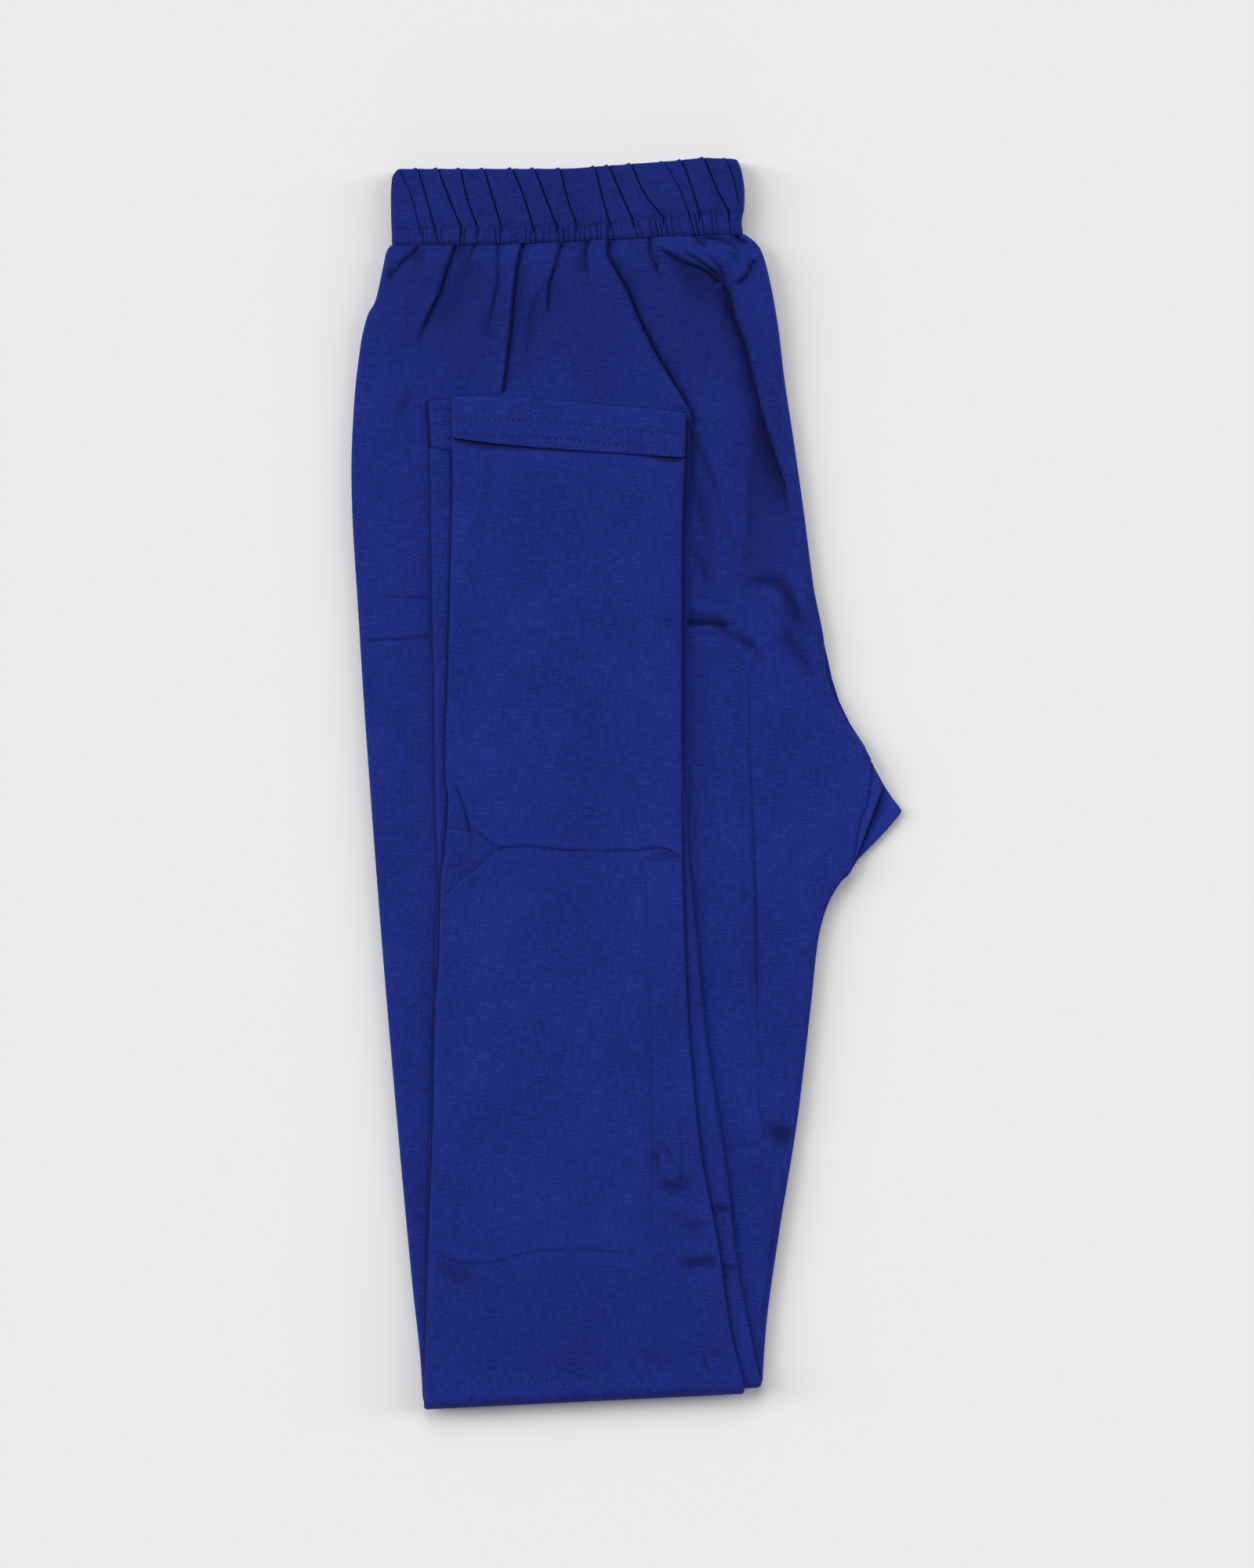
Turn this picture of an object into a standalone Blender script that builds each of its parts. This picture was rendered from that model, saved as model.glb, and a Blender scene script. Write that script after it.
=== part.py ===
# Leggings of plain jersey, folded in half along the centre seam, with both lower legs folded up.
# They lie flat. Sizes are millimetres: x runs towards the centre seam, y up to the waist, z off the table.

from collections import namedtuple
from math import cos, pi, radians, sin

import bmesh
import bpy
import numpy as np

OBJECT_NAME = "leggings"
MM = 0.001

# Layers of the folded cloth
LEG_THICK = 2.7
LAYER_GAP = 0.3
LAYER_STEP = LEG_THICK + LAYER_GAP
HALF_LEG = LEG_THICK / 2
SEAM_GAP = 0.3

# The leg fold: the near leg turns inside the far leg, about one slanted axis
FOLD_CENTRE_Z = 2 * LAYER_STEP - LAYER_GAP / 2
FAR_FOLD_RADIUS = 1.5 * LAYER_STEP
NEAR_FOLD_RADIUS = 0.5 * LAYER_STEP
FOLD_OUTER_Y = -279.0
FOLD_LEFT_X = -90.8
FOLD_SLOPE = 0.049
FOLD_STEPS = 6

# The elastic casing: four walls, doubled at the side folds and round the centre seam
CASING_WALL = 2.1
CASING_STEP = 2.5
CENTRE_TURN_POINTS = 6
TURN_POINTS = 4
CASING_PUCKERS = 36
PUCKER_DEPTH = 0.55

# Hems
FAR_HEM_WALL = 1.3
NEAR_HEM_WALL = 1.15
HEM_HOLLOW = 0.4
STITCH_DENT = 0.22

BLUE = (0.0153, 0.0285, 0.2060, 1.0)
BAND_BLUE = (0.0115, 0.0205, 0.1640, 1.0)

# Outlines. Columns: y, x
SIDE_FOLD = [
    (245.0, -105.0), (240.0, -105.2), (237.5, -106.8), (229.0, -108.7), (214.5, -112.2), (209.5, -115.2),
    (196.0, -118.5), (168.0, -121.6), (140.0, -122.7), (70.0, -119.2), (-49.0, -110.8), (-157.0, -101.7),
    (-224.0, -95.4), (-259.0, -91.7), (-280.0, -90.5)]
RISE = [
    (246.0, 51.6), (244.6, 52.3), (243.3, 54.1), (241.5, 56.5), (237.7, 59.3), (229.0, 62.1), (203.0, 67.0),
    (182.0, 69.5), (154.0, 73.7), (122.5, 78.2), (87.5, 82.8), (61.0, 87.6), (51.0, 88.0), (44.5, 89.6),
    (25.0, 99.0), (7.4, 109.2)]
NEAR_INSEAM = [
    (7.4, 109.2), (-7.0, 107.2), (-17.5, 103.6), (-38.5, 99.6), (-43.5, 94.7), (-56.0, 88.0), (-70.0, 84.5),
    (-98.0, 81.4), (-149.0, 75.4), (-203.0, 66.7), (-245.0, 61.1), (-280.0, 59.0)]
FAR_INSEAM = [
    (7.4, 109.2), (-7.0, 107.2), (-17.5, 103.6), (-38.5, 99.4), (-43.5, 94.3), (-56.0, 87.0), (-98.0, 79.0),
    (-150.0, 70.0), (-200.0, 61.5), (-245.0, 54.5), (-280.0, 51.6)]
# How far the far leg shows past the near leg just above the crotch
FAR_RISE_PEEK = [(64.0, 0.0), (56.0, 1.7), (47.0, 2.7), (36.0, 2.0), (15.0, 0.8), (7.4, 0.0)]
FAR_LOWER_LEFT = [
    (-280.0, -90.8), (-206.0, -88.7), (-158.0, -87.0), (-98.0, -85.6), (-80.0, -84.2), (-44.0, -83.2),
    (-31.5, -81.7), (-8.0, -80.0), (4.0, -81.2), (14.0, -81.4), (42.0, -80.3), (98.0, -78.9),
    (135.0, -78.2),
    (173.0, -78.9)]
FAR_LOWER_RIGHT = [
    (-280.0, 53.0), (-266.0, 51.6), (-247.0, 46.7), (-203.0, 40.1), (-168.0, 33.4), (-149.0, 31.0),
    (-98.0, 26.8), (-38.0, 24.7), (5.0, 24.3), (105.0, 24.3), (140.0, 25.4), (173.0, 26.5)]
NEAR_LOWER_LEFT = [
    (-280.0, -90.3), (-227.0, -89.4), (-158.0, -88.0), (-105.0, -86.3), (-35.0, -84.5), (-9.0, -85.4),
    (35.0, -85.9), (88.0, -87.0), (145.0, -87.7), (172.0, -89.4)]
NEAR_LOWER_RIGHT = [
    (-280.0, 59.6), (-268.0, 58.9), (-250.0, 55.1), (-214.0, 48.5), (-176.0, 44.3), (-144.0, 39.4),
    (-102.0, 33.4), (-66.0, 30.3), (-36.0, 27.1), (0.0, 25.0), (35.0, 22.9), (172.0, 22.2)]

# Lines across the cloth. Columns: x, y
WAIST_SEAM = [
    (-108.0, 240.0), (-63.0, 240.4), (-29.0, 241.5), (0.0, 243.0), (24.5, 244.3), (52.0, 244.8),
    (115.0, 244.8)]
CASING_SEAM = [
    (-108.0, 247.2), (-49.0, 247.5), (-22.5, 248.6), (4.5, 250.8), (24.0, 253.0), (44.5, 254.6),
    (56.0, 255.0)]
CASING_TOP = [
    (-108.0, 273.9), (-29.5, 274.0), (-14.5, 274.9), (1.5, 276.1), (23.5, 277.8), (34.0, 278.8),
    (49.0, 278.3),
    (56.0, 278.0)]
FAR_HEM_TOP = [(-82.0, 172.5), (-57.0, 172.2), (-35.5, 170.8), (-3.0, 168.0), (14.0, 166.6), (30.0, 164.0)]
FAR_HEM_STEP = [(-82.0, 154.6), (-60.0, 151.7), (-35.5, 149.4), (-8.0, 147.5), (30.0, 144.9)]
NEAR_HEM_TOP = [(-92.0, 170.2), (-81.0, 171.1), (24.0, 163.5)]
NEAR_HEM_STEP = [(-92.0, 150.6), (-80.0, 148.9), (24.0, 144.0)]

# Loft of the gathered cloth under the waistband. Columns: y, z
NEAR_UNDERSIDE = [(245.0, 4.8), (228.0, 4.4), (205.0, 3.6), (182.0, 3.05), (170.0, 3.0)]
NEAR_TOP = [(245.0, 8.5), (236.0, 8.9), (222.0, 8.3), (200.0, 7.0), (182.0, 6.0), (170.0, 5.7)]
TABLE_LEVEL = [(-300.0, 0.0), (300.0, 0.0)]
FAR_TOP = [(245.0, 4.5), (228.0, 4.1), (205.0, 3.3), (182.0, 2.75), (170.0, 2.7)]

# Creases. path runs from the strong end, width is the trough's half width, lift is the ridge beside it,
# which stands on the left of the path when side is 1 and on its right when side is -1, and start and end
# are the lengths over which the crease fades in and out
Fold = namedtuple("Fold", "path width depth lift side start end")
Swell = namedtuple("Swell", "x y across along height")

NEAR_FOLDS = [
    Fold([(-95, 240), (-102.5, 230), (-110, 221)], 2.2, 0.9, 0.6, -1, 1, 8),
    Fold([(-78, 241), (-80, 226), (-85, 215), (-89.5, 206), (-96, 191)], 2.0, 1.9, 1.2, -1, 1, 16),
    Fold([(-68.5, 240), (-76, 226)], 2.8, 0.8, 0.5, 1, 1, 9),
    Fold([(-58.5, 241), (-57.5, 227), (-61.5, 207), (-65, 196)], 1.9, 1.2, 0.9, -1, 1, 16),
    Fold([(-48, 242), (-50, 226), (-52.5, 203), (-57, 172)], 1.9, 1.8, 1.1, -1, 1, 30),
    Fold([(-30.5, 242), (-33.5, 230), (-36, 220), (-37, 209), (-36, 201)], 1.9, 1.3, 0.9, -1, 1, 14),
    Fold([(-16.5, 243), (-18, 234), (-16, 224)], 1.8, 1.0, 0.6, 1, 1, 9),
    Fold([(-10, 243), (-7, 233), (-1, 220.5), (4.5, 207), (12.5, 191), (26.5, 168)],
         2.1, 1.8, 1.3, -1, 1, 26),
    Fold([(10.5, 244), (12.5, 234), (15.5, 224)], 1.9, 0.8, 0.5, 1, 1, 10),
    Fold([(21, 235.5), (29, 230.5), (37.5, 226), (44, 217.5), (47, 209.5), (50, 199), (52.5, 182)],
         2.8, 1.9, 1.1, 1, 5, 12),
    Fold([(52.5, 186), (59.5, 167), (63.5, 151), (71, 116)], 4.2, 1.4, 0.8, 1, 6, 26),
    Fold([(27, 239.5), (32, 233.5), (36.5, 228.5)], 1.7, 1.0, 0.5, 1, 4, 4),
    Fold([(36, 234.5), (41, 229.5), (43.5, 225)], 1.5, 0.9, 0.5, 1, 4, 3),
    Fold([(22, 243.5), (29, 243), (32.5, 240), (36, 238), (39.5, 240)], 1.4, 0.9, 0.4, -1, 3, 3),
    Fold([(32, 244), (41, 242.5), (44.5, 240.5), (48, 237.5)], 1.4, 0.9, 0.4, 1, 2, 5),
    Fold([(48, 245), (50.5, 242.5), (54.5, 239.5)], 1.5, 1.1, 0.5, 1, 1, 3),
    Fold([(56.5, 235), (54.5, 230), (51, 226), (47, 222)], 1.7, 1.0, 0.7, -1, 3, 6),
    Fold([(-95, 180), (-101.5, 168.5), (-107.5, 157)], 4.5, 0.5, 0.3, -1, 10, 12),
    Fold([(-106, 120), (-89.5, 137)], 5.0, 0.0, 0.5, 1, 8, 8),
    Fold([(-113.5, 84), (-100, 83.5), (-87, 84)], 1.5, 0.55, 0.35, 1, 4, 4),
    Fold([(-118.5, 64), (-105, 65), (-87, 66)], 1.5, 0.55, 0.35, 1, 4, 4),
    Fold([(25, 71), (36.5, 70.5), (44, 69.5), (48.5, 65), (56.5, 60)], 2.6, 1.2, 0.9, -1, 2, 8),
    Fold([(60.5, 61.5), (57, 53)], 1.8, 0.6, 0.4, 1, 3, 4),
    Fold([(57, 88), (61.5, 90), (66.5, 89), (70.5, 85.5), (75.5, 76), (77.5, 71)], 2.9, 1.1, 0.8, 1, 5, 7),
    Fold([(70, 67), (72.5, 62), (76, 58.5), (81, 54.5)], 2.8, 0.9, 0.6, 1, 4, 8),
    Fold([(52.5, 105), (53.5, 56), (56, 4), (57, -33), (58.5, -105), (59, -140), (62, -158), (66, -168)],
         2.2, 0.55, 0.35, 1, 20, 12),
    Fold([(68, -180), (63.5, -218), (60, -249)], 2.4, 0.7, 0.3, 1, 14, 14)]
NEAR_SWELLS = [
    Swell(66.0, 200.0, 9.0, 34.0, 0.9), Swell(-100.0, 205.0, 9.0, 14.0, 0.7),
    Swell(-20.0, 215.0, 12.0, 18.0, 0.5), Swell(38.0, 150.0, 14.0, 30.0, 0.6),
    Swell(34.0, 76.0, 9.0, 5.0, 0.7), Swell(66.0, 74.0, 7.0, 12.0, 0.5),
    Swell(68.0, -159.0, 6.5, 6.0, -1.0), Swell(58.0, -159.0, 3.5, 2.5, -0.5),
    Swell(52.0, -185.0, 7.0, 16.0, 0.4),
    Swell(40.0, 20.0, 9.0, 40.0, 0.3), Swell(-104.0, 30.0, 7.0, 50.0, 0.3)]
FAR_FOLDS = [
    Fold([(-76, 0), (-72, -9.5), (-70, -17), (-68.5, -22.5), (-72, -30)], 1.5, 0.6, 0.4, 1, 3, 4),
    Fold([(-78.5, -20.5), (-70, -23), (-67.5, -21.5), (-57, -28)], 1.8, 0.4, 0.2, 1, 4, 3),
    Fold([(-57, -28), (-49, -27.5), (-26, -29.5), (0, -30), (8, -28), (23.5, -29.5)],
         2.0, 0.8, 0.5, 1, 2, 6),
    Fold([(-58, -31), (-69, -40.5), (-78.5, -47), (-83, -51.5)], 2.0, 0.7, 0.5, 1, 3, 4),
    Fold([(-78.5, -38), (-68, -33.5), (-62, -31.5)], 1.7, 0.5, 0.4, 1, 5, 3),
    Fold([(-88, -206.5), (-81, -210), (-72.5, -214), (-57, -213), (-45, -208.5), (-33, -207), (3, -208),
         (22, -210)],
         2.0, 0.7, 0.4, 1, 3, 10),
    Fold([(17, -157), (19.5, -163), (23.5, -171)], 2.0, 0.55, 0.4, 1, 3, 5),
    Fold([(16, -180), (20.5, -177.5), (25.5, -175.5)], 2.2, 0.6, 0.4, 1, 3, 4),
    Fold([(23, -194.5), (29, -197.5)], 2.4, 0.5, 0.3, 1, 3, 3),
    Fold([(24, -214), (30.5, -212), (40, -210)], 2.0, 0.9, 0.6, 1, 3, 2),
    Fold([(34, -238), (35.5, -249), (37.5, -260), (42, -265)], 1.9, 0.6, 0.5, 1, 6, 3),
    Fold([(9, -42), (10.5, -100), (11.7, -157), (11.5, -206)], 2.4, 0.35, 0.2, 1, 20, 20)]
FAR_SWELLS = [
    Swell(-20.0, 90.0, 34.0, 44.0, 0.45), Swell(-40.0, -110.0, 32.0, 50.0, 0.4),
    Swell(18.0, -185.0, 7.0, 12.0, 0.35),
    Swell(30.0, -256.0, 14.0, 6.0, -0.45), Swell(-30.0, -240.0, 30.0, 16.0, 0.3)]

# Gathers of the casing. Columns: x at the top, half way down and at the stitching, depth
CASING_GATHERS = [
    (-101.5, -96.0, -92.5, 0.6), (-93.5, -89.5, -86.0, 1.1), (-84.5, -79.5, -74.0, 1.3),
    (-74.5, -71.5, -66.5, 1.1),
    (-64.0, -60.0, -56.0, 1.2), (-51.5, -46.0, -42.0, 1.4), (-41.5, -36.5, -31.5, 1.3),
    (-30.0, -27.0, -22.5, 1.1),
    (-14.5, -11.5, -8.0, 1.2), (-8.5, -3.0, 2.5, 1.3), (1.5, 7.0, 16.0, 1.2), (16.0, 23.0, 27.5, 0.6),
    (24.0, 28.5, 32.0, 1.1), (34.0, 39.0, 45.0, 1.3), (44.0, 48.0, 50.0, 0.7)]
GATHER_WIDTH = 1.3
GATHER_SHOULDER = 1.25 * GATHER_WIDTH
GATHER_LIP = 0.42
TOP_EDGE_PEAK = 0.5
CENTRE_SQUASH = 0.6
CASING_PLAIN_COLUMNS = 12
# Edges of the casing, the x near which they lie and their tables. Columns: y, x
CASING_ENDS = (-105.0, 52.0)
CASING_LEFT = [(240.0, -105.2), (262.0, -105.5), (270.0, -105.0), (274.0, -103.0)]
CASING_RIGHT = [
    (244.6, 51.8), (251.3, 51.1), (257.0, 52.2), (263.6, 52.3), (273.0, 51.1), (279.0, 49.0)]
# Rows of the casing. Columns: share of the way up, share of the wall's thickness
CASING_ROWS = [(0.0, 0.72), (0.07, 0.95), (0.3, 1.0), (0.55, 1.0), (0.8, 1.0), (0.95, 0.92), (1.0, 0.55)]
# Rows of the seam band. Columns: share of the way up, share of the wall's thickness, share of pucker depth
BAND_ROWS = [(0.0, 0.62, 0.6), (0.25, 0.82, 1.0), (0.75, 0.82, 1.0), (1.0, 0.66, 0.7)]

# Rows of stitching on the far hem. Columns: x, y
FAR_LOWER_STITCHES = [(-82.0, 155.4), (-35.5, 153.7), (-14.5, 151.8), (2.0, 149.8), (30.0, 147.4)]
FAR_UPPER_STITCHES = [(-82.0, 162.6), (-35.5, 161.1), (-14.5, 158.9), (2.0, 156.9), (30.0, 154.8)]
HEM_COLUMNS = 17

# The gusset. Columns: y, x of the crease that ends its near half, x of its outer edge
GUSSET_ROWS = [
    (5.6, 110.5, 111.4), (2.6, 112.0, 113.0), (-1.4, 114.3, 115.2), (-6.5, 112.3, 118.6),
    (-10.0, 110.9, 121.4),
    (-12.0, 110.1, 122.7), (-14.5, 109.2, 121.0), (-20.0, 107.1, 116.4), (-26.0, 104.9, 110.8),
    (-31.0, 103.2, 105.8), (-36.0, 101.6, 102.8)]
GUSSET_LOW = 2.9
GUSSET_HIGH = 5.5

# Where the rows of each leg's loft lie, as y at the edge named
NEAR_UPPER_ROWS = [
    244.3, 242.7, 240.5, 237.5, 234.0, 230.5, 227.0, 223.0, 218.5, 213.5, 208.0, 201.5, 194.5, 187.0, 179.0,
    171.0, 160.0, 147.0, 133.0, 118.0, 105.0, 96.0, 91.0, 87.0, 83.0, 78.0, 73.0, 69.0, 65.0, 60.0, 53.0,
    45.0, 33.0, 18.0, 7.4, -5.0, -12.0, -18.0, -28.0, -38.5, -43.5, -56.0, -76.0, -105.0, -132.0, -148.0,
    -155.0, -162.0, -170.0, -185.0, -205.0, -225.0, -245.0, -260.0]
FAR_UPPER_ROWS = [
    244.3, 240.5, 234.0, 220.0, 195.0, 160.0, 105.0, 60.0, 45.0, 20.0, 7.4, -5.0, -12.0, -18.0, -28.0,
    -38.5, -43.5, -70.0, -130.0, -200.0, -258.0]
FAR_LOWER_ROWS = [
    -268.0, -260.0, -248.0, -236.0, -224.0, -217.0, -213.0, -209.5, -206.0, -199.0, -189.0, -179.0, -168.0,
    -155.0, -135.0, -110.0, -84.0, -62.0, -52.0, -46.0, -40.0, -35.0, -31.0, -27.0, -22.0, -15.0, -6.0, 8.0,
    35.0, 75.0, 115.0, 140.0]
NEAR_LOWER_ROWS = [-262.0, -215.0, -160.0, -100.0, -35.0, 40.0, 110.0]

NEAR_OPEN_COLUMNS = 33
FAR_OPEN_COLUMNS = 30
PLAIN_COLUMNS = 12
NOSE_POINTS = 3
TRACE_STEP = 3.0
BEND_SAMPLES = 140
# The least share of columns that flat cloth gets
CALM = 0.35
# Where down the right edge the legs' shared quarter round gives way to two round noses, as y
SEWN_END = 6.0
SEWN_START = 9.0
SEWN_REACH = 0.9
# A crease's ridge: its place and its width, in widths of the trough
RIDGE_PLACE = 2.1
RIDGE_WIDTH = 1.5


def smooth(table, at):
    """Values of a smooth line through the table's pairs that never overshoots them."""
    known = np.array(sorted(table), float)
    spot, value = known[:, 0], known[:, 1]
    step = np.diff(spot)
    rise = np.diff(value) / step
    slope = np.zeros(len(spot))
    slope[0], slope[-1] = rise[0], rise[-1]
    before, after = rise[:-1], rise[1:]
    same = before * after > 0
    slope[1:-1][same] = 2 * before[same] * after[same] / (before[same] + after[same])
    at = np.clip(np.asarray(at, float), spot[0], spot[-1])
    index = np.clip(np.searchsorted(spot, at) - 1, 0, len(spot) - 2)
    t = (at - spot[index]) / step[index]
    start = value[index] * (1 + 2 * t) + slope[index] * step[index] * t
    finish = value[index + 1] * (3 - 2 * t) + slope[index + 1] * step[index] * (t - 1)
    return start * (1 - t) ** 2 + finish * t ** 2


def ramp(value, low, high):
    t = np.clip((value - low) / (high - low), 0.0, 1.0)
    return t * t * (3 - 2 * t)


def trace(path):
    """A crease's path as short steps, with the length run at each."""
    points = np.array(path, float)
    run = np.concatenate(([0.0], np.cumsum(np.hypot(*np.diff(points, axis=0).T))))
    at = np.linspace(0.0, run[-1], max(2, int(run[-1] / TRACE_STEP) + 1))
    return smooth(zip(run, points[:, 0]), at), smooth(zip(run, points[:, 1]), at), at


def fold_height(fold, x, y):
    """Height of one crease over the points x, y: a trough with a ridge beside it."""
    trail_x, trail_y, run = trace(fold.path)
    step_x, step_y, length = np.diff(trail_x), np.diff(trail_y), np.diff(run)
    span = np.maximum(step_x ** 2 + step_y ** 2, 1e-9)
    off_x = x[..., None] - trail_x[:-1]
    off_y = y[..., None] - trail_y[:-1]
    t = np.clip((off_x * step_x + off_y * step_y) / span, 0.0, 1.0)
    distance = np.hypot(off_x - t * step_x, off_y - t * step_y)
    nearest = np.argmin(distance, axis=-1)[..., None]
    left = np.sign(np.take_along_axis(step_x * off_y - step_y * off_x, nearest, -1))[..., 0]
    offset = np.take_along_axis(distance, nearest, -1)[..., 0] * left * fold.side
    travelled = np.take_along_axis(run[:-1] + t * length, nearest, -1)[..., 0]
    fade = ramp(travelled, -0.01, fold.start) * ramp(run[-1] - travelled, -0.01, fold.end)
    trough = fold.depth * np.exp(-(offset / fold.width) ** 2)
    ridge = fold.lift * np.exp(-((offset / fold.width - RIDGE_PLACE) / RIDGE_WIDTH) ** 2)
    return (ridge - trough) * fade


def relief(folds, swells, x, y):
    x, y = np.broadcast_arrays(np.asarray(x, float), np.asarray(y, float))
    height = np.zeros(x.shape)
    for fold in folds:
        height += fold_height(fold, x, y)
    for swell in swells:
        reach = ((x - swell.x) / swell.across) ** 2 + ((y - swell.y) / swell.along) ** 2
        height += swell.height * np.exp(-reach)
    return height


def fold_axis(x):
    outer = FOLD_OUTER_Y + FOLD_SLOPE * (np.asarray(x, float) - FOLD_LEFT_X)
    return outer + FAR_FOLD_RADIUS + HALF_LEG


def upper_right(y, inseam, peek):
    y = np.asarray(y, float)
    above = smooth(RISE, y)
    if peek:
        above = above + smooth(FAR_RISE_PEEK, y)
    return np.where(y >= RISE[-1][0], above, smooth(inseam, y))


def uncovered(x, y):
    """1 where the near leg lies open to view, 0 under the legs folded up on it."""
    left = smooth(NEAR_LOWER_LEFT, y)
    right = np.maximum(smooth(NEAR_LOWER_RIGHT, y), smooth(FAR_LOWER_RIGHT, y))
    under = 1 - ramp(y - smooth(FAR_HEM_TOP, x), 0.5, 9.0)
    between = ramp(x, left - 7.0, left - 1.0) * (1 - ramp(x, right + 1.0, right + 7.0))
    return 1 - under * between


def near_relief(x, y):
    near_fold = ramp(y - fold_axis(x), 2.0, 16.0)
    return relief(NEAR_FOLDS, NEAR_SWELLS, x, y) * uncovered(x, y) * near_fold


def far_relief(x, y):
    near_fold = ramp(y - fold_axis(x), -1.0, 10.0)
    return relief(FAR_FOLDS, FAR_SWELLS, x, y) * near_fold


def crowd(bends, count):
    """Where columns lie across each row, from 0 to 1, closer together where the cloth bends."""
    spots = np.linspace(0.0, 1.0, bends.shape[1])
    blur = np.array([1.0, 2.0, 3.0, 4.0, 3.0, 2.0, 1.0]) / 16
    wide = np.pad(bends, ((3, 3), (3, 3)), mode="edge")
    wide = np.apply_along_axis(np.convolve, 1, wide, blur, "valid")
    wide = np.apply_along_axis(np.convolve, 0, wide, blur, "valid")
    weight = CALM + wide / max(wide.mean(), 1e-6)
    columns = []
    for row in weight:
        total = np.concatenate(([0.0], np.cumsum((row[1:] + row[:-1]) / 2)))
        columns.append(np.interp(np.linspace(0.0, 1.0, count), total / total[-1], spots))
    return np.array(columns)


def upper_rows(levels, inseam, peek):
    """Ends of each slanted row of an upper leg, and its share of the way from waist to fold."""
    right_y = np.array(levels, float)
    right_x = upper_right(right_y, inseam, peek)
    top = smooth(WAIST_SEAM, right_x) - SEAM_GAP
    share = (top - right_y) / (top - fold_axis(right_x))
    left_x = np.full(len(right_x), -105.0)
    for _ in range(5):
        left_y = (1 - share) * (smooth(WAIST_SEAM, left_x) - SEAM_GAP) + share * fold_axis(left_x)
        left_x = smooth(SIDE_FOLD, left_y)
    return left_x, right_x, np.clip(share, 0.0, 1.0)


def upper_y(x, share):
    return (1 - share) * (smooth(WAIST_SEAM, x) - SEAM_GAP) + share * fold_axis(x)


def lower_rows(levels, left_edge, right_edge, step):
    """The same for a lower leg, from the fold up to the hem. Levels are y at the left edge."""
    left_y = np.array(levels, float)
    left_x = smooth(left_edge, left_y)
    bottom = fold_axis(left_x)
    share = (left_y - bottom) / (smooth(step, left_x) - SEAM_GAP - bottom)
    share = np.append(share, 1.0)
    left_x = np.append(left_x, smooth(left_edge, smooth(step, left_x[-1])))
    right_x = np.full(len(share), 30.0)
    for _ in range(5):
        right_x = smooth(right_edge, lower_y(right_x, share, step))
    return left_x, right_x, share


def lower_y(x, share, step):
    return (1 - share) * fold_axis(x) + share * (smooth(step, x) - SEAM_GAP)


def section(left, right, spread, open_height, plain_height, sewn=0.0):
    """One ring of a leg as x and height: open side, right edge, plain side, left edge.

    open_height and plain_height give the two sides over x. sewn blends the right edge from a round nose
    to the quarter round that it has where the two legs are sewn together.
    """
    turn = HALF_LEG * (1 + SEWN_REACH * sewn)
    low, high = left + HALF_LEG, right - turn
    open_x = low + spread * (high - low)
    plain_x = np.linspace(low, high, PLAIN_COLUMNS)
    open_side, plain_side = open_height(open_x), plain_height(plain_x)
    near_edge = []
    for share in (1.0, 0.5, 0.0):
        angle = radians(90 * share - 45)
        quarter = radians(75 * share)
        middle, half = (open_side[-1] + plain_side[-1]) / 2, (open_side[-1] - plain_side[-1]) / 2
        nose = np.array((right - HALF_LEG + HALF_LEG * cos(angle), middle + half * sin(angle)))
        seam = np.array((high + turn * cos(quarter), plain_side[-1] + 2 * half * sin(quarter)))
        near_edge.append((1 - sewn) * nose + sewn * seam)
    far_edge = []
    for angle in (radians(-45), 0.0, radians(45)):
        middle, half = (open_side[0] + plain_side[0]) / 2, (open_side[0] - plain_side[0]) / 2
        far_edge.append(np.array((low - HALF_LEG * cos(angle), middle + half * sin(angle))))
    open_run = np.stack((open_x, open_side), axis=1)
    plain_run = np.stack((plain_x, plain_side), axis=1)[::-1]
    ring = np.concatenate((open_run, near_edge, plain_run, far_edge))
    return ring[:, 0], ring[:, 1]


def leg_cap(ring, first):
    """Triangles that close the end of a leg, zipped between its open and its plain side."""
    opens = len(ring) - PLAIN_COLUMNS - 2 * NOSE_POINTS
    plain_end = opens + NOSE_POINTS + PLAIN_COLUMNS
    above = [plain_end + 1, plain_end + 2] + list(range(opens)) + [opens, opens + 1]
    below = [plain_end + 1, plain_end] + list(range(plain_end - 1, opens + 2, -1)) + [opens + 2, opens + 1]
    a = b = 1
    faces = [(above[0], above[1], below[1])]
    while a < len(above) - 2 or b < len(below) - 2:
        above_is_next = b == len(below) - 2 or ring[above[a + 1]][0] <= ring[below[b + 1]][0]
        step_above = a < len(above) - 2 and above_is_next
        if step_above:
            faces.append((above[a], above[a + 1], below[b]))
            a += 1
        else:
            faces.append((above[a], below[b + 1], below[b]))
            b += 1
    faces.append((above[a], above[a + 1], below[b]))
    return [tuple(first + index for index in face) for face in faces]


def loft(name, rings, colour, ends="faces"):
    """A closed solid through rings of equal length, given in millimetres.

    ends is faces for one face at each end, zipped for a leg's ends, or joined for rings that close on
    themselves.
    """
    count = len(rings[0])
    verts = [tuple(float(c) * MM for c in point) for ring in rings for point in ring]
    faces = []
    for row in range(len(rings) - 1):
        for spot in range(count):
            after = (spot + 1) % count
            faces.append((row * count + spot, row * count + after,
                          (row + 1) * count + after, (row + 1) * count + spot))
    last = (len(rings) - 1) * count
    if ends == "faces":
        faces.append(tuple(range(count)))
        faces.append(tuple(range(last, last + count)))
    elif ends == "zipped":
        faces += leg_cap(rings[0], 0) + leg_cap(rings[-1], last)
    else:
        for spot in range(count):
            after = (spot + 1) % count
            faces.append((last + spot, last + after, after, spot))
    return add_piece(name, verts, faces, colour)


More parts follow.
